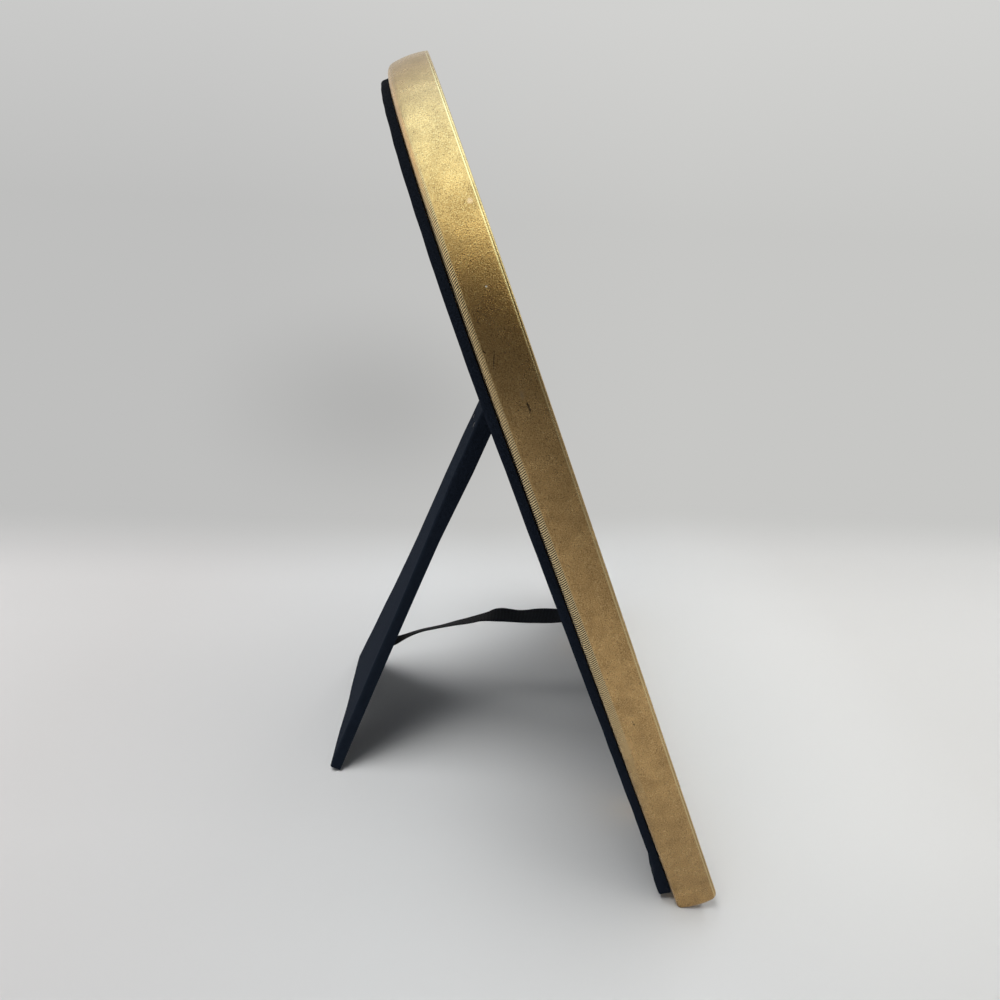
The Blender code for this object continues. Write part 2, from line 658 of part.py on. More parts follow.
def smooth_line(route, steps):
    """Evenly spread points, each with its turn, along the smooth curve through a few given ones."""
    points = [Vector((*point, turned * RIBBON_WIDTH)) for point, turned in route]
    fine = []
    count = len(points)
    for index in range(count - 1):
        before = points[max(index - 1, 0)]
        here = points[index]
        there = points[index + 1]
        after = points[min(index + 2, count - 1)]
        reach = (there - here).length
        leave = (there - before).normalized() * reach
        arrive = (after - here).normalized() * reach
        for step in range(20):
            share = step / 20
            square, cube = share ** 2, share ** 3
            fine.append(here * (2 * cube - 3 * square + 1) + leave * (cube - 2 * square + share)
                        + there * (3 * square - 2 * cube) + arrive * (cube - square))
    fine.append(points[-1])
    lengths = [0.0]
    for here, there in zip(fine, fine[1:]):
        lengths.append(lengths[-1] + (there - here).length)
    line = []
    place = 0
    for step in range(steps + 1):
        wanted = lengths[-1] * step / steps
        while place < len(fine) - 2 and lengths[place + 1] < wanted:
            place += 1
        span = lengths[place + 1] - lengths[place]
        point = fine[place].lerp(fine[place + 1], (wanted - lengths[place]) / span)
        line.append((Vector((point.x, point.y)), point.z / RIBBON_WIDTH))
    return line


def make_ribbon(fabric, parent):
    """The ribbon stay: a flat woven strip that turns on its side a little on its way to the leg."""
    line = smooth_line(ribbon_route(), RIBBON_STEPS)
    bm = bmesh.new()
    rings = []
    length = 0.0
    for index, (point, turned) in enumerate(line):
        before = line[max(index - 1, 0)][0]
        after = line[min(index + 1, RIBBON_STEPS)][0]
        length += (point - before).length
        along = (after - before).normalized()
        flat, rise = math.cos(turned), math.sin(turned)
        width = Vector((flat, along.y * rise, -along.x * rise))
        thick = Vector((rise, -along.y * flat, along.x * flat))
        middle = Vector((0.0, point.x, point.y))
        ring = []
        for side, face in ((-1, -1), (1, -1), (1, 1), (-1, 1)):
            ring.append(bm.verts.new(
                middle + width * side * RIBBON_WIDTH / 2 + thick * face * RIBBON_THICKNESS / 2))
        rings.append(ring)
    for here, there in zip(rings, rings[1:]):
        for side in range(4):
            after = (side + 1) % 4
            bm.faces.new((here[side], here[after], there[after], there[side]))
    bm.faces.new(rings[0])
    bm.faces.new(rings[-1])
    add_object("ribbon_stay", bm, fabric, parent)
    print(f"ribbon_stay is {length * 1000:.1f} mm long between its ends")


def cut_slit(things, name, parent, front, back, height):
    """A slit that the ribbon's end goes into."""
    play = 2 * SEAT_GAP
    cutter = guide(name, box(
        (RIBBON_WIDTH + play, back - front, RIBBON_THICKNESS + play),
        (0.0, (front + back) / 2, height)), parent)
    for thing in things:
        combine(thing, 'DIFFERENCE', cutter)


def build():
    for thing in list(bpy.data.objects):
        bpy.data.objects.remove(thing, do_unlink=True)

    gilt = make_material("gilt", (0.45, 0.31, 0.13), 0.85, 0.42)
    glass = make_material("glass", (0.92, 0.95, 0.94), 0.0, 0.03, transmission=1.0)
    paper = make_material("paper", (0.86, 0.84, 0.79), 0.0, 0.85)
    card = make_material("grey_card", (0.42, 0.39, 0.34), 0.0, 0.9)
    board = make_material("board", (0.30, 0.21, 0.13), 0.0, 0.85)
    lining = make_material("black_paper", (0.025, 0.025, 0.03), 0.0, 0.8)
    velvet = make_material("velvet", (0.010, 0.012, 0.020), 0.0, 0.95)
    ribbon = make_material("ribbon", (0.012, 0.013, 0.020), 0.0, 0.6)
    brass = make_material("brass", (0.60, 0.44, 0.18), 1.0, 0.35)
    steel = make_material("black_steel", (0.06, 0.06, 0.065), 0.9, 0.45)

    lean = make_empty("lean")
    lean.location = (0.0, -STAND_MIDDLE, -FLOOR_LIFT)
    lean.rotation_euler = (-LEAN, 0.0, 0.0)
    hinge_pivot = make_empty("hinge_line", lean)
    hinge_pivot.location = (0.0, PIN_BACK, HINGE_HEIGHT)
    leg_pivot = make_empty("leg_swing", hinge_pivot)
    leg_pivot.rotation_euler = (OPENING_ANGLE, 0.0, 0.0)

    rim = make_rim(gilt, lean)
    make_contents(glass, paper, card, lean)
    ring_velvet, ring_board = make_ring(board, velvet, lean)
    door_velvet, door_board = make_door(board, velvet, lining, lean)
    leg_velvet, leg_board, leg_lining = make_leg(board, velvet, lining, leg_pivot)
    make_hinge(steel, hinge_pivot, leg_pivot, [door_velvet, door_board],
               [leg_velvet, leg_board, leg_lining])
    make_buttons(brass, brass, lean, [rim, ring_velvet, ring_board])
    cut_slit([door_velvet, door_board], "door_slit", lean,
             DOOR_BOARD_FRONT - SEAT_GAP, BACK_FACE + SEAT_GAP, RIBBON_DOOR_HEIGHT)
    cut_slit([leg_board, leg_lining], "leg_slit", leg_pivot,
             LEG_FRONT - SEAT_GAP, LEG_BACK - VELVET_THICKNESS - FASTENER_GAP, -RIBBON_LEG_REACH)
    make_ribbon(ribbon, lean)

    bpy.context.view_layer.update()
    print(f"the frame leans back {math.degrees(LEAN):.2f} degrees")


build()
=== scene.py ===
# Arched gilt photo frame with a velvet back, standing on its easel leg

import json
import math
from functools import partial

import bmesh
import bpy
from mathutils import Matrix, Vector, noise

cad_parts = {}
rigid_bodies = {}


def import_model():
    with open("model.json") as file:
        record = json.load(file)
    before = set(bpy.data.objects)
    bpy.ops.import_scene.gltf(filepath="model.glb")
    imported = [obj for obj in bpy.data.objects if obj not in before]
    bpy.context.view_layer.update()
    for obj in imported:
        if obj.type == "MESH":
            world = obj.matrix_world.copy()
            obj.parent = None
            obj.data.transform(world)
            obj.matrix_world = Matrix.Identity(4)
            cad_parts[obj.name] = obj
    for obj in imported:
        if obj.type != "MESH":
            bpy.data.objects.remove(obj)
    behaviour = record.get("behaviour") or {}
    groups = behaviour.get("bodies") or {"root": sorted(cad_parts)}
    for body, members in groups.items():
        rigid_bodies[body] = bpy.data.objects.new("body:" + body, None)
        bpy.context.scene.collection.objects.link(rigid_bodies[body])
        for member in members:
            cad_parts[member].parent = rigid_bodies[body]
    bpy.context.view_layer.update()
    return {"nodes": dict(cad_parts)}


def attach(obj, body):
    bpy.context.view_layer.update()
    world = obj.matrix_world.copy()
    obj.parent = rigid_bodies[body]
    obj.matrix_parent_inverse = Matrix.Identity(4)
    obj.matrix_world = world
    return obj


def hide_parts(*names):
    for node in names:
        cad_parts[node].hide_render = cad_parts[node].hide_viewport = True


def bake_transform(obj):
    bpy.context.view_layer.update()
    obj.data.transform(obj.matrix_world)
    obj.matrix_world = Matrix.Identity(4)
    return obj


for thing in list(bpy.data.objects):
    bpy.data.objects.remove(thing)

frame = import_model()
nodes = frame["nodes"]
print("frame loaded with", len(nodes), "nodes")

camera = {
    # off the frame's left side, a hand's width above its middle
    "place": (-0.20714, 0.013330, 0.155625),
    "forward": (0.93330975, -0.04541334, -0.35618892),
    "right": (-0.0300457, -0.99836816, 0.04856209),
    "lens": 26.64,  # mm
    "sensor": 36.0,  # mm wide
    "nearest": 0.005,
}


def makeCamera():
    forward = Vector(camera["forward"]).normalized()
    right = Vector(camera["right"])
    right = (right - forward * right.dot(forward)).normalized()
    turn = Matrix((right, right.cross(forward), -forward)).transposed()
    data = bpy.data.cameras.new("camera")
    data.lens = camera["lens"]
    data.sensor_width = camera["sensor"]
    data.clip_start = camera["nearest"]
    eye = bpy.data.objects.new("camera", data)
    eye.matrix_world = Matrix.Translation(camera["place"]) @ turn.to_4x4()
    bpy.context.scene.collection.objects.link(eye)
    bpy.context.scene.camera = eye


makeCamera()
print("camera placed")

# How the upright drawing of the frame stands: leaned back, with its leg open
stand = {
    "lean": 22.3795,  # degrees
    "origin": (-0.0420205, -0.0006377),  # back and up, metres
    "pin": (0.0061485, 0.1058422),
    "legSlope": 21.8705,  # degrees, the leg from upright
}


def tilted(origin, lean):
    # sets a drawing's across, back and up at its origin, leaned back
    slope = math.radians(lean)
    y, z = origin

    def place(across, back, up):
        return Vector((
            across,
            y + back * math.cos(slope) + up * math.sin(slope),
            z - back * math.sin(slope) + up * math.cos(slope),
        ))

    return place


leanBack = tilted(stand["origin"], stand["lean"])  # from the foot of the moulding's rear face
openLeg = tilted(stand["pin"], -stand["legSlope"])  # from the hinge pin, along the leg


def linear(colour):
    # sRGB hex to the linear values that the shaders take
    values = []
    for place in (1, 3, 5):
        part = int(colour[place:place + 2], 16) / 255
        values.append(part / 12.92 if part <= 0.04045 else ((part + 0.055) / 1.055) ** 2.4)
    return (*values, 1.0)


def feed(node, inputs):
    # an input is a plain value, an output of another node, or a node for its first output;
    # From and To take both ends of a range
    for socket, value in inputs.items():
        if isinstance(value, bpy.types.Node):
            value = next(output for output in value.outputs if output.enabled)
        if socket in ("From", "To"):
            feed(node, {socket + " Min": value[0], socket + " Max": value[1]})
        elif isinstance(value, bpy.types.NodeSocket):
            node.id_data.links.new(value, node.inputs[socket])
        else:
            node.inputs[socket].default_value = value


def addNode(tree, kind, inputs=None, **settings):
    node = tree.nodes.new("ShaderNode" + kind)
    for name, value in settings.items():
        setattr(node, name, value)
    feed(node, inputs or {})
    return node


def startMaterial(name, uvMap=None):
    # add puts a node in it; its pattern is placed by the object, or by a map where it has one
    material = bpy.data.materials.new(name)
    material.use_nodes = True
    add = partial(addNode, material.node_tree)
    place = add("UVMap", uv_map=uvMap).outputs["UV"] if uvMap else add("TexCoord").outputs["Object"]
    return material, add, place


def shaderOf(material):
    return material.node_tree.nodes["Principled BSDF"]


def show(material, surface):
    # in place of the principled shader alone
    feed(material.node_tree.nodes["Material Output"], {"Surface": surface})
    return material


def grit(millimetres):
    # noise scale for spots of that size, with coordinates in metres
    return 1000 / millimetres


def ribbing(millimetres):
    # wave scale for bands that far apart: a wave of scale 1 has one every 0.31416
    return 0.31416 * grit(millimetres)


def ramp(add, value, stops):
    # straight steps from one (place, level) to the next, level beyond both ends
    level = stops[0][1]
    for (low, _), (high, nextLevel) in zip(stops, stops[1:]):
        climb = add("MapRange", {"Value": value, "From": (low, high)})
        level = add("MapRange", {"Value": climb, "To": (level, nextLevel)})
    return level


def layered(add, ground, *coats):
    # coats of colour over a ground, each as a share and its hex value
    colour = linear(ground)
    for share, paint in coats:
        colour = add("Mix", {"Factor": share, "A": colour, "B": linear(paint)}, data_type="RGBA")
    return colour


def finish(material, colour, rough, relief, others=None):
    # colour as a ground and its coats, roughness as a pattern, its range and the level at both
    # ends, relief as a pattern, its strength and its depth in metres
    add = partial(addNode, material.node_tree)
    feed(shaderOf(material), {
        "Base Color": layered(add, *colour),
        "Roughness": add("MapRange", dict(zip(("Value", "From", "To"), rough))),
        "Normal": add("Bump", dict(zip(("Height", "Strength", "Distance"), relief))),
        **(others or {})})
    return material


gilt = {
    "gold": "#C09A62",
    "shade": "#A3804E",  # where the lacquer has browned
    "paleWearAndHighlight": "#E6D09A",  # where it is rubbed thin on the edges, and a painted highlight along the front corner and the bead
    "speck": "#3E2D1A",
    "grain": 0.25,  # mm, the sanded ground under the gilding
    "mottle": 5.0,  # mm
    "roughness": 0.28,
    # point of the section, reach in metres and strength: rubbed gilding with a painted highlight on
    # it
    "wornAndHighlitEdges": (
        (19, 0.00024, 0.75),  # the wall's front corner: wear and a painted highlight line
        (27, 0.00035, 0.25),  # the bead: wear and a painted pale highlight
    ),
    # wear on the left side, with one painted glint: place along and across the map, angle, half
    # length and half width
    # in metres, colour and strength
    "marks": (
        (0.35064, 0.00294, 25, 0.00055, 0.00014, "#1E140C", 0.85),  # scratches by the rear edge
        (0.35256, 0.00408, -23, 0.00230, 0.00013, "#1E140C", 0.80),
        (0.36269, 0.00726, 3, 0.00130, 0.00022, "#20160D", 0.85),
        (0.36012, 0.00681, -8, 0.00110, 0.00050, "#B9A17C", 0.40),  # rubbed beside the scratch
        (0.32381, 0.00932, 0, 0.00072, 0.00072, "#E8C4A6", 0.40),  # a dab of filler
        (0.43714, 0.00633, 10, 0.00030, 0.00022, "#2A1F10", 0.90),  # a pin prick in the gilding
        (0.43640, 0.00625, 12, 0.00070, 0.00009, "#3A2C18", 0.70),
        (0.33994, 0.00714, 0, 0.00026, 0.00026, "#FFFFFF", 1.0),  # a painted glint on one grain
    ),
}

# Tool marks round the rear edge of the moulding, by the way round from the top of the arch
hatch = {
    "spacing": 0.49,  # mm
    "top": 0.2474,  # where the map's u passes the top of the arch
    "band": ((0.118, 0.0026), (0.190, 0.0038)),  # how far they reach over the rear edge
    "softness": 0.00015,
    "wear": (  # how much of them is left
        (0.064, 0.15), (0.076, 0.95), (0.092, 1.0), (0.102, 0.75), (0.112, 0.6), (0.124, 0.9),
        (0.141, 1.0), (0.170, 0.95), (0.185, 0.6), (0.200, 0.2), (0.220, 0.0)),
    "slant": ((0.082, 0.25), (0.115, 0.5)),
    "groove": "#1F1408",
    "ridge": "#F2DCA8",
    "ridgeShare": 0.7,
}


def antiqueGilt(runs):
    # Gilded moulding under an aged lacquer: a sanded ground gives the soft sparkle,
    # brown lacquer in the hollows gives the depth, and rubbed edges carry a painted highlight
    material, add, place = startMaterial("antique gilt, lacquered")
    route = add("UVMap", uv_map="moulding").outputs["UV"]
    parts = add("SeparateXYZ", {"Vector": route}).outputs
    grain = add("TexNoise", {
        "Vector": place, "Scale": grit(gilt["grain"]), "Detail": 2.0, "Roughness": 0.65})
    mottle = add("TexNoise", {
        "Vector": place, "Scale": grit(gilt["mottle"]), "Detail": 5.0, "Roughness": 0.62})
    cloud = add("MapRange", {"Value": mottle, "From": (0.30, 0.62)})
    salt = add("MapRange", {"Value": grain, "From": (0.54, 0.72), "To Max": 0.5})
    pepper = add("MapRange", {"Value": grain, "From": (0.46, 0.32), "To Max": 0.7})

    # slanting tool marks, with lacquer left in them
    off = add("Math", {0: parts["X"], 1: hatch["top"]}, operation="SUBTRACT")
    way = add("Math", {0: off}, operation="ABSOLUTE")
    slant = add("Math", {0: parts["Y"], 1: ramp(add, way, hatch["slant"]), 2: parts["X"]},
                operation="MULTIPLY_ADD")
    stroke = add("CombineXYZ", {"X": slant, "Y": parts["Y"]})
    wave = add("TexWave", {
        "Vector": stroke, "Scale": ribbing(hatch["spacing"]), "Distortion": 0.5, "Detail": 1.0,
        "Detail Scale": 0.4}).outputs["Fac"]
    crisp = add("MapRange", {"Value": wave, "From": (0.30, 0.70)})
    over = add("Math", {0: parts["Y"], 1: ramp(add, way, hatch["band"])}, operation="SUBTRACT")
    band = add("MapRange", {"Value": over, "From": (hatch["softness"], -hatch["softness"])})
    patch = add("MapRange", {"Value": mottle, "From": (0.30, 0.48), "To Min": 0.85})
    left = add("Math", {0: patch, 1: ramp(add, way, hatch["wear"])}, operation="MULTIPLY")
    worn = add("Math", {0: band, 1: left}, operation="MULTIPLY")
    cut = add("Math", {0: crisp, 1: worn}, operation="MULTIPLY")
    edge = add("Math", {0: worn, 1: hatch["ridgeShare"]}, operation="MULTIPLY")
    coats = [(cloud, gilt["gold"]), (salt, gilt["paleWearAndHighlight"]), (pepper, gilt["speck"]),
             (edge, hatch["ridge"]), (cut, hatch["groove"])]

    # rubbed edges with a painted highlight: the map's v runs over the section from the rear edge,
    # in metres
    for point, reach, most in gilt["wornAndHighlitEdges"]:
        off = add("Math", {0: parts["Y"], 1: runs[point]}, operation="SUBTRACT")
        far = add("Math", {0: off}, operation="ABSOLUTE")
        near = add("MapRange", {"Value": far, "From": (reach, reach * 0.3), "To Max": most})
        coats.append((near, gilt["paleWearAndHighlight"]))
    for along, across, angle, long, wide, paint, most in gilt["marks"]:
        spot = add("Mapping", {
            "Vector": route, "Location": (along, across, 0.0),
            "Rotation": (0.0, 0.0, math.radians(angle)), "Scale": (long, wide, 1.0)},
            vector_type="TEXTURE")
        far = add("VectorMath", {0: spot}, operation="LENGTH")
        ragged = add("Math", {0: grain, 1: 1.2, 2: far}, operation="MULTIPLY_ADD")
        near = add("MapRange", {"Value": ragged, "From": (1.6, 1.1), "To Max": most})
        coats.append((near, paint))

    polish = add("MapRange", {
        "Value": mottle, "From": (0.3, 0.7),
        "To": (gilt["roughness"] + 0.06, gilt["roughness"] - 0.04)})
    sand = add("Bump", {"Height": grain, "Strength": 0.55, "Distance": 0.00012})
    marks = add("Bump", {
        "Height": cut, "Strength": 0.6, "Distance": 0.00010, "Normal": sand}, invert=True)
    feed(shaderOf(material), {
        "Base Color": layered(add, gilt["shade"], *coats), "Roughness": polish,
        "Normal": marks, "Metallic": 0.9, "Coat Weight": 0.2, "Coat Roughness": 0.35})
    return material


velvet = {
    "pile": "#191F29",
    # the deep colour is the painted shade over the arch
    "deep": "#050506",
    "tip": "#202733",  # where the pile leans towards the light
    "lint": "#8A8F98",
    "sheen": "#77809A",
    "tuft": 0.45,  # mm, drawn coarser than the real 0.1 mm pile so that it shows
    "nap": 7.0,  # mm, the brushed patches
    "dust": 5.0,  # mm between specks of lint
    "paintedShadeRise": (0.12, 0.18),  # height in metres over which a painted shade darkens the velvet towards the arch
}


def cottonVelvet():
    # Cotton velvet glued over board: the pile swallows light face on and glows softly at its edges
    material, add, place = startMaterial("cotton velvet, black")
    height = add("SeparateXYZ", {"Vector": place}).outputs["Z"]
    tuft = add("TexNoise", {
        "Vector": place, "Scale": grit(velvet["tuft"]), "Detail": 3.0, "Roughness": 0.7})
    nap = add("TexNoise", {
        "Vector": place, "Scale": grit(velvet["nap"]), "Detail": 3.0, "Distortion": 0.8})
    lean = add("MapRange", {"Value": nap, "From": (0.35, 0.75), "To Max": 0.7})
    fleck = add("MapRange", {"Value": tuft, "From": (0.35, 0.75)})
    both = add("Math", {0: lean, 1: fleck}, operation="MULTIPLY")
    # painted shade: the velvet is made darker over the arch, from the given height up
    paintedShadeAbove = add("MapRange", {"Value": height, "From": velvet["paintedShadeRise"], "To Max": 0.85})
    dust = add("TexVoronoi", {"Vector": place, "Scale": grit(velvet["dust"])})
    lint = add("MapRange", {"Value": dust, "From": (0.035, 0.02), "To Max": 0.35})
    return finish(
        material,
        (velvet["pile"], (both, velvet["tip"]), (paintedShadeAbove, velvet["deep"]), (lint, velvet["lint"])),
        (tuft, (0.3, 0.7), (0.98, 0.86)), (tuft, 0.9, 0.0003),
        {"Specular IOR Level": 0.03, "Sheen Weight": 0.008, "Sheen Roughness": 0.4,
         "Sheen Tint": linear(velvet["sheen"])})


tape = {
    "thread": "#0C0E13",
    "crown": "#262B35",
    "sheen": "#7C8494",
    "rib": 0.45,  # mm between the cross ribs
    "warp": 0.36,  # mm between the threads along it
    "fluff": 0.8,  # mm
    "width": 0.0064,
    "thickness": 0.0004,
    "steps": 12,
}


def wovenTape():
    # Black cotton tape with fine cross ribs: each rib carries a thin line of light
    material, add, route = startMaterial("cotton tape, woven", "tape")
    ribs = add("TexWave", {
        "Vector": route, "Scale": ribbing(tape["rib"]), "Distortion": 0.5, "Detail": 1.0
    }).outputs["Fac"]
    ends = add("TexWave", {
        "Vector": route, "Scale": ribbing(tape["warp"]), "Distortion": 0.4, "Detail": 1.0},
        bands_direction="Y").outputs["Fac"]
    weave = add("Math", {0: ends, 1: 0.35, 2: ribs}, operation="MULTIPLY_ADD")
    fluff = add("TexNoise", {"Vector": route, "Scale": grit(tape["fluff"]), "Detail": 3.0})
    crown = add("Math", {0: weave, 1: fluff}, operation="MULTIPLY")
    lift = add("MapRange", {"Value": crown, "From": (0.15, 0.8), "To Max": 0.6})
    return finish(
        material, (tape["thread"], (lift, tape["crown"])),
        (weave, (0.0, 1.35), (0.85, 0.62)), (weave, 0.8, 0.00008),
        {"Specular IOR Level": 0.2, "Sheen Weight": 0.06, "Sheen Roughness": 0.35,
         "Sheen Tint": linear(tape["sheen"])})


print("materials of the visible cloth and gilding defined")


def arc(centre, radius, start, end, steps):
    # both ends included, angles in degrees
    points = []
    for step in range(steps + 1):
        angle = math.radians(start + (end - start) * step / steps)
        points.append((centre[0] + radius * math.cos(angle), centre[1] + radius * math.sin(angle)))
    return points


def rise(value, low, high):
    # 0 at low and 1 at high, level beyond both
    return min(1.0, max(0.0, (value - low) / (high - low)))


moulding = {
    "width": 0.151,
    "height": 0.204,
    "depth": 0.0101,
    "crown": 0.024,  # radius of the bowed outer wall
    "headRound": 0.0020,  # rear edge over the arch
    "footRound": 0.0010,  # rear edge at the foot
    "footWear": 0.0026,  # the blunted front edge under the foot
    "corner": 0.0006,
    "leastCorner": 0.0003,  # the corners of its inner outlines
    "border": 0.0100,
    "sight": 0.0144,
    "rebate": 0.0114,
    "lip": 0.0025,
    # the worn front corner above the quirk, and points beside it: inwards and back
    "quirk": 0.00056,
    "wornCorner": ((0.00003, -0.00006), (0.00010, -0.00010)),
    "bead": 0.0003,
    "beadFoot": (-0.72, 0.48),  # foot of the quirk from the bead's middle, in bead radii
    # the step at the border's inner edge and the rounded sight edge: inwards and back
    "step": ((-0.00020, 0.0), (-0.00005, 0.00004), (0.00006, 0.00013), (0.00024, 0.00033),
             (0.00040, 0.00042), (0.00062, 0.00047)),
    "sightEdge": ((-0.00070, 0.00139), (-0.00040, 0.00148), (-0.00018, 0.00163),
                  (-0.00004, 0.00186), (0.0, 0.00212)),
    "archSteps": 120,
    "sideSteps": 48,
    "footSteps": 48,
    "wallSteps": 12,
    "lowSteps": (0.0005, 0.0010, 0.0015, 0.0020),  # more points on the sides, just above the foot
}


def archOutline(inset):
    # anticlockwise seen from the front, with as many points at every inset
    half = moulding["width"] / 2 - inset
    spring = moulding["height"] - moulding["width"] / 2
    corner = max(moulding["corner"] - inset, moulding["leastCorner"])
    low = inset + corner
    side, foot = moulding["sideSteps"], moulding["footSteps"]
    right = arc((half - corner, low), corner, -90, 0, 4)
    right += [(half, low + step) for step in moulding["lowSteps"]]
    right += [(half, low + (spring - low) * step / side) for step in range(1, side)]
    left = [(-x, z) for x, z in reversed(right)]
    bottom = [((corner - half) * (1 - 2 * step / foot), inset) for step in range(1, foot)]
    return right + arc((0.0, spring), half, 0, 180, moulding["archSteps"]) + left + bottom


def measure(line, closed):
    # the way along it to each point, in metres
    runs = [0.0]
    count = len(line)
    for place in range(count if closed else count - 1):
        runs.append(runs[-1] + math.dist(line[place], line[(place + 1) % count]))
    return runs


def sweepRings(spots, closed, uvName, along, runs, turned=False):
    # quads between neighbouring rings, with caps where the last doesn't meet the first; in the
    # map u goes along a ring and v from ring to ring, or the other way round where it is turned
    bm = bmesh.new()
    layer = bm.loops.layers.uv.new(uvName)
    rings = [[bm.verts.new(spot) for spot in ring] for ring in spots]
    count = len(rings[0])
    for ring in range(len(rings) if closed else len(rings) - 1):
        here, there = rings[ring], rings[(ring + 1) % len(rings)]
        for point in range(count):
            after = (point + 1) % count
            face = bm.faces.new((here[point], here[after], there[after], there[point]))
            corners = ((point, ring), (point + 1, ring), (point + 1, ring + 1), (point, ring + 1))
            for loop, (u, v) in zip(face.loops, corners):
                loop[layer].uv = (runs[v], along[u]) if turned else (along[u], runs[v])
    if not closed:
        bm.faces.new(rings[0])
        bm.faces.new(rings[-1])
    return bm, rings


def linkMesh(name, bm):
    mesh = bpy.data.meshes.new(name)
    bm.to_mesh(mesh)
    bm.free()
    piece = bpy.data.objects.new(name, mesh)
    bpy.context.scene.collection.objects.link(piece)
    return piece


def moveTo(place, bm):
    # from the drawing to where it stands
    for vert in bm.verts:
        vert.co = place(*vert.co)
    bm.normal_update()
    bmesh.ops.recalc_face_normals(bm, faces=bm.faces)


def finishMesh(name, bm, material, place, sharp):
    moveTo(place, bm)
    piece = linkMesh(name, bm)
    piece.data.shade_smooth()
    piece.data.set_sharp_from_angle(angle=math.radians(sharp))
    piece.data.materials.append(material)
    return piece


def mouldingSection(rearRound):
    # inset and back of each point, from the rear edge over the wall and bead to the rebate
    depth, crown, bead = moulding["depth"], moulding["crown"], moulding["bead"]
    front = -depth

    def bow(back):
        return crown - math.sqrt(crown ** 2 - (back + depth / 2) ** 2)

    slope = math.asin((depth / 2 - rearRound) / (crown - rearRound))
    middle = crown - (crown - rearRound) * math.cos(slope)
    section = arc((middle, -rearRound), rearRound, 90, 180 - math.degrees(slope), 7)
    rear = section[-1][1]
    corner = front + moulding["quirk"]
    for step in range(1, moulding["wallSteps"] + 1):
        back = rear + (corner - rear) * step / moulding["wallSteps"]
        section.append((bow(back), back))
    section += [(bow(corner) + inset, corner + back) for inset, back in moulding["wornCorner"]]
    inset, back = bow(front + bead) + bead, front + bead
    footIn, footBack = moulding["beadFoot"]
    section.append((inset + bead * footIn, back + bead * footBack))
    section += arc((inset, back), bead, 154, 270, 9)
    border, sight = moulding["border"], moulding["sight"]
    rebate, lip = moulding["rebate"], moulding["lip"]
    section += [(inset, front)
                for inset in (moulding["footWear"] + 0.0002, border * 0.4, border * 0.7)]
    section += [(border + inset, front + back) for inset, back in moulding["step"]]
    section += [(sight + inset, front + back) for inset, back in moulding["sightEdge"]]
    return section + [(sight, front + lip), (rebate, front + lip), (rebate, 0.0)]


def bluntFoot(x, z, back):
    # rounds the front edge under the foot
    wear = moulding["footWear"]
    below, ahead = wear - z, wear - moulding["depth"] - back
    far = math.hypot(below, ahead)
    if below > 0 and ahead > 0 and far > wear:
        return x, wear - below * wear / far, wear - moulding["depth"] - ahead * wear / far
    return x, z, back


def makeMoulding():
    outline = archOutline(0.0)
    spring = moulding["height"] - moulding["width"] / 2
    headRound, footRound = moulding["headRound"], moulding["footRound"]
    runs = measure(mouldingSection(headRound), closed=True)
    columns = []
    for index, (_, up) in enumerate(outline):
        section = mouldingSection(footRound + (headRound - footRound) * min(1.0, up / spring))
        columns.append([
            bluntFoot(*archOutline(inset)[index], back) for inset, back in section])
    spots = [[(x, back, z) for x, z, back in ring] for ring in zip(*columns)]
    bm, _ = sweepRings(spots, True, "moulding", measure(outline, closed=True), runs)
    piece = finishMesh("gilt_moulding", bm, antiqueGilt(runs), leanBack, sharp=48)
    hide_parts("rim_moulding")
    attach(piece, "frame")


makeMoulding()
print("moulding made")


# The cloth covers: each is drawn over its board, so it has a back, a skirt and a thickness
cover = {
    "thickness": 0.0006,
    "face": 0.0023,  # back of the velvet from the moulding's rear face
    "front": 0.0003,  # front of the border's velvet from there
    "ringInset": 0.0027,
    "ringTurnIn": 0.0020,  # cloth turned over the edges
    "doorInset": 0.0118,
    "doorFront": -0.0010,
    "doorBoard": (0.1274, 0.1804),
    "doorTurnIn": 0.0033,
    "round": 0.0007,
    "shoulder": 2.2,  # where the flat back begins, in rounds from the edge
    "strip": 0.0012,  # half width of the border's middle strip, which carries the screws
    "cell": 0.0045,  # grid on the flat back, for its soft waves
    "edgeWave": 0.00017,  # how far the glued edge wanders
    "edgeRun": 0.006,  # about how long one such wave is
    "edgeCentre": 0.09,  # it wanders to and from a point at this height
    "faceWave": 0.00010,
    "borderRun": 0.005,
    "faceRun": 0.009,
    "footRaise": 0.0007,
    "gather": 0.0010,  # folded cloth at the two lower corners
    "gatherReach": 0.0090,
    "hole": 0.0012,  # radius of the holes for screws and rivets
    "screwAcross": 0.043,  # the lower two turn buttons
    "rivetAcross": 0.00475,
    "rivetWay": 0.0068,  # from the hinge pin
    "pinHeight": 0.1168,
    "slit": (0.0070, 0.0010),  # where the tape comes out of the door
    "slitHeight": 0.0433,
}


def ripple(point, length, height, seed=0.0):
    # the same soft waves each run
    return height * noise.noise(Vector(point) / length + Vector((seed, seed * 0.7, seed * 1.3)))


def cutGrid(bm, step):
    # cuts the flat faces into cells, so that they can wave
    for normal in (Vector((1, 0, 0)), Vector((0, 0, 1))):
        places = [vert.co.dot(normal) for vert in bm.verts]
        place = math.ceil(min(places) / step) * step
        while place < max(places):
            bmesh.ops.bisect_plane(
                bm, geom=bm.verts[:] + bm.edges[:] + bm.faces[:], dist=1e-6,
                plane_co=normal * place, plane_no=normal)
            place += step


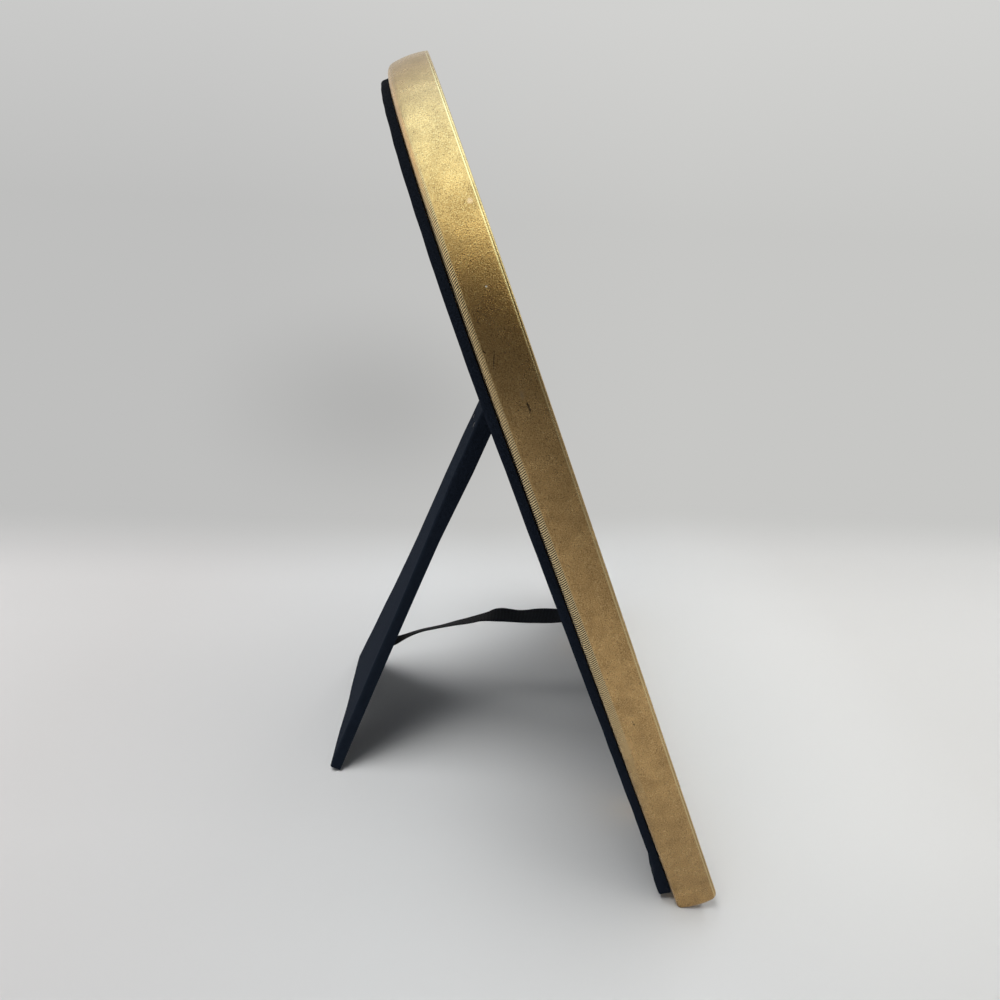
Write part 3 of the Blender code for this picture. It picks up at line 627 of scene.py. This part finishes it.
def makeCutter(place, across, up, front, back, slit=None):
    # a pin through the cloth from front to back, or a block where a slit is wanted
    bm = bmesh.new()
    wide = high = deep = 1.0
    if slit:
        bmesh.ops.create_cube(bm, size=1.0)
        wide, high = slit
        deep = back - front
    else:
        bmesh.ops.create_cone(bm, cap_ends=True, segments=24, radius1=cover["hole"],
                              radius2=cover["hole"], depth=back - front)
    moveTo(lambda x, y, z: place(
        across + x * wide, (front + back) / 2 + z * deep, up + y * high), bm)
    return linkMesh("cutter", bm)


def cutHoles(piece, cutters):
    # the cutters are gone afterwards
    for cutter in cutters:
        modifier = piece.modifiers.new("hole", "BOOLEAN")
        modifier.operation = "DIFFERENCE"
        modifier.solver = "EXACT"
        modifier.object = cutter
    bpy.context.view_layer.update()
    solid = bpy.data.meshes.new_from_object(
        piece.evaluated_get(bpy.context.evaluated_depsgraph_get()))
    piece.modifiers.clear()
    piece.data = solid
    solid.shade_smooth()
    solid.set_sharp_from_angle(angle=math.radians(50))
    for cutter in cutters:
        bpy.data.objects.remove(cutter)


def coverArea(outline, inset, skirt):
    # flat cut of a cover: its face and the skirt turned over the edge
    points = outline(inset)
    area = edge = 0.0
    for (x, z), (nextX, nextZ) in zip(points, points[1:] + points[:1]):
        area += (x * nextZ - nextX * z) / 2
        edge += math.dist((x, z), (nextX, nextZ))
    return abs(area) + edge * skirt


def ringOutline(inset):
    # the border's lower edge stops a little higher than its sides stand in
    return [(x, z + (cover["footRaise"] if z < moulding["rebate"] / 2 else 0.0))
            for x, z in archOutline(inset)]


def makeRingVelvet(material):
    face, thick, soft = cover["face"], cover["thickness"], cover["round"]
    outer, inner, front = cover["ringInset"], moulding["rebate"], cover["front"]
    middle = (outer + inner) / 2
    section = [(outer, front), (outer, (front + face - soft) / 2)]
    section += arc((outer + soft, face - soft), soft, 180, 90, 5)
    bend, strip = cover["shoulder"] * soft, cover["strip"]
    section += [(inset, face)
                for inset in (outer + bend, middle - strip, middle + strip, inner - bend)]
    section += arc((inner - soft, face - soft), soft, 90, 0, 5)
    section += [(inner, front), (inner - thick, front), (inner - thick, face - thick)]
    section += [(outer + thick, face - thick), (outer + thick, front)]
    spots = [[(x, back, z) for x, z in ringOutline(inset)] for inset, back in section]
    bm, rings = sweepRings(spots, True, "cloth", measure(ringOutline(outer), closed=True),
                           measure(section, closed=True))
    last = section.index((inner - thick, front))
    for number, ring in enumerate(rings):
        inset, back = section[number]
        for vert in ring:
            x, y, z = vert.co
            offCorner = max(moulding["width"] / 2 - abs(x), z) - outer
            folded = rise(offCorner, cover["gatherReach"], cover["gatherReach"] * 2 / 3)
            if y > face - thick + front / 2:
                vert.co.y += cover["gather"] * folded
            if number < last and inset < middle:  # the outer edge wanders, the inner is trimmed
                towards = Vector((x, 0.0, z - cover["edgeCentre"])).normalized()
                share = rise(back, front, front + 0.0008) * rise(inset, middle, outer)
                wander = ripple((x, 0.0, z), cover["edgeRun"], cover["edgeWave"])
                vert.co += towards * wander * share
            if number < last and back > face - soft * 0.6:
                vert.co.y += ripple((x, 0.0, z), cover["borderRun"], cover["faceWave"], 4.0)
    piece = finishMesh("velvet_border", bm, material, leanBack, sharp=50)
    screws = [(0.0, moulding["height"] - middle), (-cover["screwAcross"], middle),
              (cover["screwAcross"], middle)]
    cutHoles(piece, [makeCutter(leanBack, x, z, -0.001, 0.005) for x, z in screws])
    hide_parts("back_ring_velvet")
    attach(piece, "frame")
    band = (coverArea(ringOutline, outer, cover["ringTurnIn"])
            - coverArea(ringOutline, inner, -cover["ringTurnIn"]))


def makeTray(outline, inset, front, back, seed):
    # a flat back with a skirt round the edge, open at the front
    thick, soft = cover["thickness"], cover["round"]
    section = [(inset + thick, back - thick), (inset + thick, front), (inset, front)]
    section += [(inset, (front + back - soft) / 2)]
    section += arc((inset + soft, back - soft), soft, 180, 90, 5)
    section += [(inset + cover["shoulder"] * soft, back)]
    spots = [[(x, depth, z) for x, z in outline(reachIn)] for reachIn, depth in section]
    bm, _ = sweepRings(spots, False, "cloth", measure(outline(inset), closed=True),
                       measure(section, closed=False))
    cutGrid(bm, cover["cell"])
    for vert in bm.verts:
        x, y, z = vert.co
        if y > back - thick / 2:
            vert.co.y += ripple((x, 0.0, z), cover["faceRun"], cover["faceWave"], seed)
    return bm


def makeDoorVelvet(material):
    inset, turnIn = cover["doorInset"], cover["doorTurnIn"]
    bm = makeTray(archOutline, inset, cover["doorFront"], cover["face"], 2.0)
    piece = finishMesh("velvet_door", bm, material, leanBack, sharp=50)
    rivets = cover["pinHeight"] + cover["rivetWay"]
    cutters = [makeCutter(leanBack, x, rivets, -0.002, 0.004)
               for x in (-cover["rivetAcross"], cover["rivetAcross"])]
    cutters.append(makeCutter(leanBack, 0.0, cover["slitHeight"], 0.0, 0.004, cover["slit"]))
    cutHoles(piece, cutters)
    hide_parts("door_velvet")
    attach(piece, "frame")
    coverArea(archOutline, inset, turnIn)


# Lengths in metres, up and back from the hinge pin
leg = {
    "top": -0.0017,
    "length": 0.11215,
    "front": -0.0005,
    "back": 0.0027,
    "headWidth": 0.0208,
    "footWidth": 0.0590,
    "flare": 0.65,
    "headCorner": 0.0025,
    "footCorner": 0.0008,
    "leastCorner": 0.0003,
    "pad": 0.0085,
    "arch": 0.0018,
    "steps": 44,
    "archSteps": 24,
    "turnIn": 0.0032,
    "edgeRun": 0.007,
    "flap": 0.0033,  # how far the velvet runs up past the board, over the hinge's knuckles
    "flapFront": 0.0012,
    "flapRise": (-0.0045, -0.0030),  # height over which its front steps back to there
    "lip": 0.00075,  # how far its edge stands over the hinge leaf
    "lipRise": (-0.040, -0.018),
    "padding": 0.0009,  # extra cloth under its back at the head, round the rivets
    "paddingRise": (-0.066, -0.016),
}


def moveInwards(points, inset):
    moved = []
    count = len(points)
    for index, (x, z) in enumerate(points):
        before = Vector((x - points[index - 1][0], z - points[index - 1][1])).normalized()
        nextX, nextZ = points[(index + 1) % count]
        after = Vector((nextX - x, nextZ - z)).normalized()
        normal = Vector((before.y + after.y, -before.x - after.x)).normalized()
        far = inset / max(0.5, normal.dot(Vector((after.y, -after.x))))
        moved.append((x + normal.x * far, z + normal.y * far))
    return moved


def legOutline(inset):
    # narrow head, flared sides and a foot arched between two pads
    top, bottom = leg["top"], leg["top"] - leg["length"]
    halfTop, halfFoot = leg["headWidth"] / 2, leg["footWidth"] / 2
    head, foot = leg["headCorner"], max(leg["footCorner"], inset + leg["leastCorner"])
    side = []
    for step in range(1, leg["steps"]):
        share = step / leg["steps"]
        spread = (1 - leg["flare"]) * share + leg["flare"] * share ** 2
        side.append((halfTop + (halfFoot - halfTop) * spread, top - leg["length"] * share))
    side = [(x, z) for x, z in side if top - head - 0.001 > z > bottom + 0.003]
    peak = top + leg["flap"]
    right = arc((halfTop - head, peak - head), head, 90, 0, 5) + side
    right += arc((halfFoot - foot, bottom + foot), foot, 0, -90, 4)
    arch = []
    halfArch = halfFoot - leg["pad"]
    for step in range(leg["archSteps"] + 1):
        share = step / leg["archSteps"]
        lift = leg["arch"] * math.sin(math.pi * share) ** 2
        arch.append((halfArch * (1 - 2 * share), bottom + lift))
    left = [(-x, z) for x, z in reversed(right)]
    return moveInwards(right + arch + left, inset)


def makeLegVelvet(material):
    front, back = leg["front"], leg["back"]
    bm = makeTray(legOutline, 0.0, front, back, 7.0)
    for vert in bm.verts:
        x, y, z = vert.co
        if y < front + 0.0001:
            up = rise(z, *leg["flapRise"])
            vert.co.y += (leg["flapFront"] - front) * up
            vert.co.y -= leg["lip"] * rise(z, *leg["lipRise"]) * (1 - up)
        elif y > (front + back) / 2:
            share = rise(z, *leg["paddingRise"])
            vert.co.y += leg["padding"] * share ** 2 * (3 - 2 * share)
        if abs(x) > 0.004 and y > front + 0.0002:  # its side edges wander
            wander = ripple((x * 0.2, 0.0, z), leg["edgeRun"], cover["edgeWave"], 3.0)
            vert.co.x += math.copysign(wander * rise(y, front, back), x)
    piece = finishMesh("velvet_leg", bm, material, openLeg, sharp=50)
    cutHoles(piece, [makeCutter(openLeg, x, -cover["rivetWay"], -0.003, 0.005)
                     for x in (-cover["rivetAcross"], cover["rivetAcross"])])
    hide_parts("leg_velvet")
    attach(piece, "leg")
    turnIn = leg["turnIn"]
    coverArea(legOutline, 0.0, turnIn)


# The tape's middle line, from inside the door to inside the leg: y and z in metres, and its
# turn in degrees
tapeRoute = (
    (-0.02541, 0.03932, 0.0), (-0.02298, 0.03840, -0.8), (-0.02044, 0.03797, -4.5),
    (-0.01788, 0.03773, -9.5), (-0.01527, 0.03762, -14.5), (-0.01266, 0.03753, -16.0),
    (-0.01004, 0.03739, -13.8), (-0.00742, 0.03714, -9.5), (-0.00481, 0.03707, -7.5),
    (-0.00224, 0.03728, -9.2), (0.00036, 0.03747, -11.3), (0.00279, 0.03727, -8.0),
    (0.00507, 0.03674, 3.4), (0.00751, 0.03620, 10.0), (0.00997, 0.03543, 11.8),
    (0.01243, 0.03473, 14.2), (0.01491, 0.03412, 17.0), (0.01740, 0.03339, 19.6),
    (0.01988, 0.03267, 22.2), (0.02237, 0.03198, 22.7), (0.02485, 0.03135, 22.7),
    (0.02733, 0.03047, 20.8), (0.02977, 0.02936, 17.4), (0.03201, 0.02812, 12.6),
    (0.03425, 0.02702, 6.4), (0.03669, 0.02648, 0.7), (0.03913, 0.02730, 0.0),
)


def refine(route, times):
    # more points on the smooth curve through the given ones
    fine = []
    for index in range(len(route) - 1):
        before, here = Vector(route[max(index - 1, 0)]), Vector(route[index])
        there, after = Vector(route[index + 1]), Vector(route[min(index + 2, len(route) - 1)])
        for step in range(times):
            share = step / times
            fine.append((here * 2 + (there - before) * share
                         + (before * 2 - here * 5 + there * 4 - after) * share ** 2
                         + (here * 3 - before - there * 3 + after) * share ** 3) / 2)
    return fine + [Vector(route[-1])]


def tapeSection():
    # across and half thickness, with thicker selvedges that are rounded off
    shape = []
    for step in range(tape["steps"] + 1):
        share = step / tape["steps"] * 2 - 1
        half = tape["thickness"] / 2 * (0.8 if abs(share) < 0.8 else 1.0)
        half *= 0.55 if abs(share) > 0.97 else 1.0
        shape.append((share * tape["width"] / 2, half))
    return shape


def makeTape(material):
    line = refine(tapeRoute, 6)
    shape = tapeSection()
    centre = [Vector((0.0, point.x, point.y)) for point in line]
    lengths = measure(centre, closed=False)
    spots = []
    for index, (point, middle) in enumerate(zip(line, centre)):
        before, after = line[max(index - 1, 0)], line[min(index + 1, len(line) - 1)]
        along = Vector((after.x - before.x, after.y - before.y)).normalized()
        turned = math.radians(point.z)
        flat, lift = math.cos(turned), math.sin(turned)
        width = Vector((flat, along.y * lift, -along.x * lift))
        thick = Vector((lift, -along.y * flat, along.x * flat))
        ring = [middle + width * x + thick * half for x, half in shape]
        ring += [middle + width * x - thick * half for x, half in reversed(shape)]
        spots.append(ring)
    around = [spot / tape["steps"] * tape["width"] for spot in range(2 * len(shape) + 1)]
    bm, _ = sweepRings(spots, False, "tape", around, lengths, turned=True)
    piece = finishMesh("tape_stay", bm, material, lambda *spot: Vector(spot), sharp=60)
    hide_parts("ribbon_stay")
    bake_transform(piece)


pileCloth = cottonVelvet()
makeTape(wovenTape())
print("tape stay made")
makeRingVelvet(pileCloth)
makeDoorVelvet(pileCloth)
makeLegVelvet(pileCloth)
print("velvet covers made")


glass = {"body": "#FAFDFB", "shade": "#F3F7F5", "smear": 22.0, "index": 1.52}


def floatGlass():
    # Float glass: clear, with hardly any green in it and a few wiping smears that only gloss shows
    material, add, place = startMaterial("float glass")
    smear = add("TexNoise", {
        "Vector": place, "Scale": grit(glass["smear"]), "Detail": 5.0, "Distortion": 1.5})
    rough = add("MapRange", {"Value": smear, "From": (0.45, 0.75), "To": (0.01, 0.09)})
    body = shaderOf(material)
    feed(body, {"Base Color": linear(glass["body"]), "Roughness": rough,
                "Transmission Weight": 1.0, "IOR": glass["index"]})
    rays = add("LightPath").outputs
    clear = add("BsdfTransparent", {"Color": linear(glass["shade"])})
    return show(material, add("MixShader", {"Fac": rays["Is Shadow Ray"], 1: body, 2: clear}))


paper = {"sheet": "#EAE7DF", "fibre": "#D9D4C8", "fibreSize": 0.5}


def drawingPaper():
    # Uncoated white paper: matt, with short pressed fibres
    material, add, place = startMaterial("drawing paper, uncoated")
    fibre = add("TexNoise", {
        "Vector": place, "Scale": grit(paper["fibreSize"]), "Detail": 6.0, "Roughness": 0.7,
        "Distortion": 2.0})
    return finish(
        material, (paper["sheet"], (fibre, paper["fibre"])),
        (fibre, (0.0, 1.0), (0.92, 0.8)), (fibre, 0.4, 0.00003), {"Specular IOR Level": 0.3})


card = {"pulp": "#8F887C", "fleck": "#6B655B", "pulpSize": 1.2, "fleckSize": 2.4}


def greyCard():
    # Grey packing card, pressed from waste paper: dull, with darker flecks
    material, add, place = startMaterial("grey packing card")
    pulp = add("TexNoise", {"Vector": place, "Scale": grit(card["pulpSize"]), "Detail": 5.0})
    fleck = add("TexVoronoi", {"Vector": place, "Scale": grit(card["fleckSize"])})
    near = add("MapRange", {"Value": fleck, "From": (0.16, 0.08), "To Max": 0.7})
    return finish(
        material, (card["pulp"], (near, card["fleck"])),
        (pulp, (0.0, 1.0), (0.95, 0.82)), (pulp, 0.5, 0.00006))


board = {"fibre": "#6A4B30", "chip": "#8A6A48", "fibreSize": 0.9}


def hardboard():
    # Pressed hardboard: brown matted fibres, a little glossier on the crests
    material, add, place = startMaterial("hardboard")
    mat = add("TexNoise", {
        "Vector": place, "Scale": grit(board["fibreSize"]), "Detail": 6.0, "Roughness": 0.65,
        "Distortion": 2.5})
    return finish(
        material, (board["fibre"], (mat, board["chip"])),
        (mat, (0.0, 1.0), (0.9, 0.65)), (mat, 0.6, 0.00008))


lining = {"sheet": "#181A20", "crest": "#2E323C", "grain": 0.9}


def grainedPaper():
    # Black lining paper embossed with a fine leather grain: low gloss on the crests
    material, add, place = startMaterial("lining paper, embossed")
    cells = add("TexVoronoi", {"Vector": place, "Scale": grit(lining["grain"])},
                feature="DISTANCE_TO_EDGE")
    crest = add("MapRange", {"Value": cells, "From": (0.02, 0.22)})
    return finish(
        material, (lining["sheet"], (crest, lining["crest"])),
        (crest, (0.0, 1.0), (0.8, 0.52)), (crest, 0.6, 0.00006))


brass = {"metal": "#C79F5C", "tarnish": "#7D5E34", "brush": 0.25, "stain": 3.0}


def stampedBrass():
    # Stamped sheet brass: fine rolling lines, browned where fingers leave it alone
    material, add, place = startMaterial("sheet brass, stamped")
    stretch = add("Mapping", {"Vector": place, "Scale": (0.06, 1.0, 1.0)})
    lines = add("TexNoise", {"Vector": stretch, "Scale": grit(brass["brush"]), "Detail": 3.0})
    stain = add("TexNoise", {"Vector": place, "Scale": grit(brass["stain"]), "Detail": 4.0})
    spread = add("MapRange", {"Value": stain, "From": (0.42, 0.7), "To Max": 0.75})
    return finish(
        material, (brass["metal"], (spread, brass["tarnish"])),
        (stain, (0.3, 0.7), (0.28, 0.5)), (lines, 0.25, 0.00003), {"Metallic": 1.0})


steel = {"black": "#0F1013", "bare": "#3C3D40", "grain": 0.5}


def blackedSteel():
    # Oil-blacked steel: dark and even, with bare metal showing through in small scuffs
    material, add, place = startMaterial("steel, oil-blacked")
    skin = add("TexNoise", {
        "Vector": place, "Scale": grit(steel["grain"]), "Detail": 4.0, "Roughness": 0.65})
    scuff = add("MapRange", {"Value": skin, "From": (0.62, 0.78), "To Max": 0.7})
    return finish(
        material, (steel["black"], (scuff, steel["bare"])),
        (skin, (0.3, 0.75), (0.5, 0.32)), (skin, 0.3, 0.00004), {"Metallic": 0.9})


def dress(material, *starts):
    # the nodes whose names start so
    for name, node in nodes.items():
        if name.startswith(starts):
            node.data.materials.clear()
            node.data.materials.append(material)


dress(floatGlass(), "glass_pane")
dress(drawingPaper(), "paper_insert")
dress(greyCard(), "filler_card")
dress(hardboard(), "back_ring_board", "door_board", "leg_board")
dress(grainedPaper(), "door_lining", "leg_lining")
dress(stampedBrass(), "turn_button_")
dress(blackedSteel(), "hinge_")
print("glass, papers, boards and metal dressed")


# The sheet that the frame stands on, and the pale room round it; lengths in metres
studio = {
    "floorCorners": ((-8, -8, 0), (14, -8, 0), (14, 8, 0), (-8, 8, 0)),
    "floor": "#D3D2D0",
    "floorPaintedLight": "#DBDCDC",  # beside the frame: painted light, lighter than the rest of the floor
    "floorLeft": "#D5D3D2",
    "paintedLightTurn": (-0.15, -0.04),  # y over which the floor gives way to its painted light beside the frame
    "leftTurn": (0.03, 0.14),
    # painted shade by x: the floor's colour falls off towards its near edge
    "tone": ((-0.100, 0.94), (-0.055, 1.02), (0.0, 1.035), (0.05, 1.06), (0.085, 1.05),
             (0.12, 1.01)),
    "bend": (0.085, 0.170),  # x over which the pale floor gives way to the far sweep
    "bendRight": (-0.10, 0.03),  # by how much farther out it does so that far to the right
    "away": (0.45, 1.0),  # distance at which it does so on the other sides
    "sweepPoint": (-0.207, 0.0, 0.1556),  # it is drawn by its direction from here, as the sky is
    "sweepTurn": (-0.25, 0.30),  # from the right to the left of it
    "sweepRight": "#C7C7C5",
    "sweepLeft": "#BFBFBE",
    "topRight": "#D2D2D0",
    "topLeft": "#CCCCCB",
    "topRise": 0.22,
    "paintedShadow": 0.16,  # share of light that a painted faint shadow of the frame takes from the sweep
    "paintedShadowPlace": (0.962, 0.135, -0.240),  # its direction
    "paintedShadowSize": (1.0, 3.75, 6.1),
    "wall": "#F2F4F7",
    "wallGlow": 0.66,  # light from the pale walls
    "ceilingGlow": 0.05,
    "wallTop": (0.36, 0.48),  # how high the walls end, about 25 degrees up
}


def seenAsItLooks(add):
    # 1 for what the camera, gloss and glass see, 0 for what lights the frame
    rays = add("LightPath").outputs
    seen = add("Math", {0: rays["Is Camera Ray"], 1: rays["Is Glossy Ray"]}, operation="MAXIMUM")
    return add("Math", {0: seen, 1: rays["Is Transmission Ray"]}, operation="MAXIMUM")


def backdropTone(add, bearing, right, left):
    # the backdrop's colour from its right to its left, darker to the left: a painted shade
    low, high = studio["sweepTurn"]
    turn = add("MapRange", {"Value": bearing, "From": (low, high)})
    return add("Mix", {"Factor": turn, "A": linear(studio[right]), "B": linear(studio[left])},
               data_type="RGBA")


def makeFlat(name, corners, material):
    bm = bmesh.new()
    bm.faces.new([bm.verts.new(corner) for corner in corners])
    flat = linkMesh(name, bm)
    flat.data.materials.append(material)
    return flat


def matPaper():
    # Matt paper sweep: its far part glows so that it runs into the sky without a line, with painted
    # shade in that glow and painted light and shade in the floor's colour
    material, add, place = startMaterial("paper sweep, matt")
    parts = add("SeparateXYZ", {"Vector": place}).outputs
    # painted light beside the frame and painted shade along x, laid into the floor's colour
    near = add("MapRange", {"Value": parts["Y"], "From": studio["paintedLightTurn"]})
    left = add("MapRange", {"Value": parts["Y"], "From": studio["leftTurn"]})
    tone = layered(add, studio["floor"], (near, studio["floorPaintedLight"]), (left, studio["floorLeft"]))
    toned = add("VectorMath", {
        0: tone, "Scale": ramp(add, parts["X"], studio["tone"])}, operation="SCALE")
    matt = shaderOf(material)
    feed(matt, {"Base Color": toned, "Roughness": 0.9, "Specular IOR Level": 0.2})

    right = add("MapRange", {
        "Value": parts["Y"], "From": (0.0, studio["bendRight"][0]),
        "To Max": studio["bendRight"][1]})
    line = add("Math", {0: parts["X"], 1: right}, operation="SUBTRACT")
    bend = add("MapRange", {"Value": line, "From": studio["bend"]},
               interpolation_type="SMOOTHSTEP")
    far = add("VectorMath", {0: place}, operation="LENGTH")
    away = add("MapRange", {"Value": far, "From": studio["away"]}, interpolation_type="SMOOTHSTEP")
    share = add("Math", {0: bend, 1: away}, operation="MAXIMUM")

    gaze = add("VectorMath", {0: place, 1: studio["sweepPoint"]}, operation="SUBTRACT")
    gaze = add("VectorMath", {0: gaze}, operation="NORMALIZE")
    bearing = add("SeparateXYZ", {"Vector": gaze}).outputs["Y"]
    # a painted shadow of the frame: a soft dark patch in the sweep's glow, placed by its direction
    off = add("VectorMath", {0: gaze, 1: studio["paintedShadowPlace"]}, operation="SUBTRACT")
    off = add("VectorMath", {0: off, 1: studio["paintedShadowSize"]}, operation="MULTIPLY")
    off = add("VectorMath", {0: off}, operation="LENGTH")
    left = add("MapRange", {"Value": off, "To Min": 1.0 - studio["paintedShadow"]},
               interpolation_type="SMOOTHSTEP")
    glow = add("Math", {0: seenAsItLooks(add), 1: left}, operation="MULTIPLY")
    sheet = add("Emission", {
        "Color": backdropTone(add, bearing, "sweepRight", "sweepLeft"), "Strength": glow})
    return show(material, add("MixShader", {"Fac": share, 1: matt, 2: sheet}))


def makeSky():
    world = bpy.data.worlds.new("studio")
    bpy.context.scene.world = world
    world.use_nodes = True
    world.node_tree.nodes.clear()
    add = partial(addNode, world.node_tree)
    look = add("TexCoord").outputs["Generated"]
    parts = add("SeparateXYZ", {"Vector": look}).outputs
    climb = add("MapRange", {"Value": parts["Z"], "From Max": studio["topRise"]})
    # the seen sky carries the same painted shade, darker to the left, and is lighter higher up
    tone = add("Mix", {
        "Factor": climb, "A": backdropTone(add, parts["Y"], "sweepRight", "sweepLeft"),
        "B": backdropTone(add, parts["Y"], "topRight", "topLeft")}, data_type="RGBA")
    seen = add("Background", {"Color": tone})
    wall = add("MapRange", {
        "Value": parts["Z"], "From": studio["wallTop"],
        "To": (studio["wallGlow"], studio["ceilingGlow"])})
    lit = add("Background", {"Color": linear(studio["wall"]), "Strength": wall})
    mixed = add("MixShader", {"Fac": seenAsItLooks(add), 1: lit, 2: seen})
    add("OutputWorld", {"Surface": mixed})


# Soft boxes that hang level and face down: place, size and power
lamps = {
    "overhead_box": ((-0.08, 0.23, 0.65), (0.47, 0.32), 3.55),
    "side_box": ((0.24, -0.52, 0.65), (1.54, 0.26), 5.55),
}


def makeLamp(name, place, size, power):
    data = bpy.data.lights.new(name, "AREA")
    data.shape = "RECTANGLE"
    data.size, data.size_y = size
    data.energy = power
    lamp = bpy.data.objects.new(name, data)
    lamp.location = place
    lamp.visible_glossy = False
    bpy.context.scene.collection.objects.link(lamp)


# What the gilding mirrors: glowing panels that give painted reflections; corners, then stops with
# height, light and colour
panels = {
    # silk overhead, rising slightly towards the back
    "silk": (
        ((-0.66, -0.7, 0.68), (0.26, -0.7, 0.60), (0.26, 0.8, 0.60), (-0.66, 0.8, 0.68)),
        ((0.600, 2.68, "#DCF7FF"), (0.636, 2.52, "#DCF7FF"), (0.655, 2.85, "#ECF4D4"),
         (0.6626, 0.30, "#FFCE84"), (0.680, 0.07, "#FFB458"))),
    # what the rear edge mirrors over the arch
    "back_wall": (
        ((-0.7, 0.95, 0.14), (1.4, 0.95, 0.14), (1.4, 0.95, 0.85), (-0.7, 0.95, 0.85)),
        ((0.14, 1.3, "#FFF6E8"),)),
    # off its left side, dark at the top
    "dark_card": (
        ((-0.16, -0.9, 0.0), (-0.16, 0.9, 0.0), (-0.64, 0.9, 0.72), (-0.64, -0.9, 0.72)),
        ((0.0, 0.98, "#EEF0F4"), (0.02, 0.74, "#EEF0F4"), (0.04, 0.48, "#EEF0F4"),
         (0.08, 0.23, "#EEF0F4"), (0.19, 0.06, "#EEF0F4"), (0.30, 0.045, "#F6CE9C"),
         (0.50, 0.045, "#FFBC68"), (0.70, 0.06, "#FFB458"))),
    # by its foot, a strip that rises by 4 mm to the left
    "low_card": (
        ((-0.16, -0.9, 0.006), (-0.078, -0.9, 0.002), (-0.078, 0.9, 0.002), (-0.16, 0.9, 0.006)),
        ((0.0020, 0.59, "#EEF0F4"), (0.0038, 0.65, "#EEF0F4"), (0.0048, 0.87, "#EEF0F4"),
         (0.0060, 0.96, "#EEF0F4"))),
}


def makePanel(name, corners, stops):
    # A glowing panel, no lamp, that only the gilding, the metal and the glass mirror: a painted
    # reflection
    material, add, place = startMaterial(name + ", paper")
    height = add("SeparateXYZ", {"Vector": place}).outputs["Z"]
    coats = [(add("MapRange", {"Value": height, "From": (low[0], high[0])}), high[2])
             for low, high in zip(stops, stops[1:])]
    glow = add("Emission", {
        "Color": layered(add, stops[0][2], *coats),
        "Strength": ramp(add, height, [stop[:2] for stop in stops])})
    panel = makeFlat(name, corners, show(material, glow))
    panel.visible_camera = panel.visible_diffuse = False
    panel.visible_shadow = panel.visible_transmission = False


makeFlat("floor", studio["floorCorners"], matPaper())
makeSky()
for name, (place, size, power) in lamps.items():
    makeLamp(name, place, size, power)
for name, (corners, stops) in panels.items():
    makePanel(name, corners, stops)
bpy.context.scene.view_settings.view_transform = "Standard"
print("studio lit")
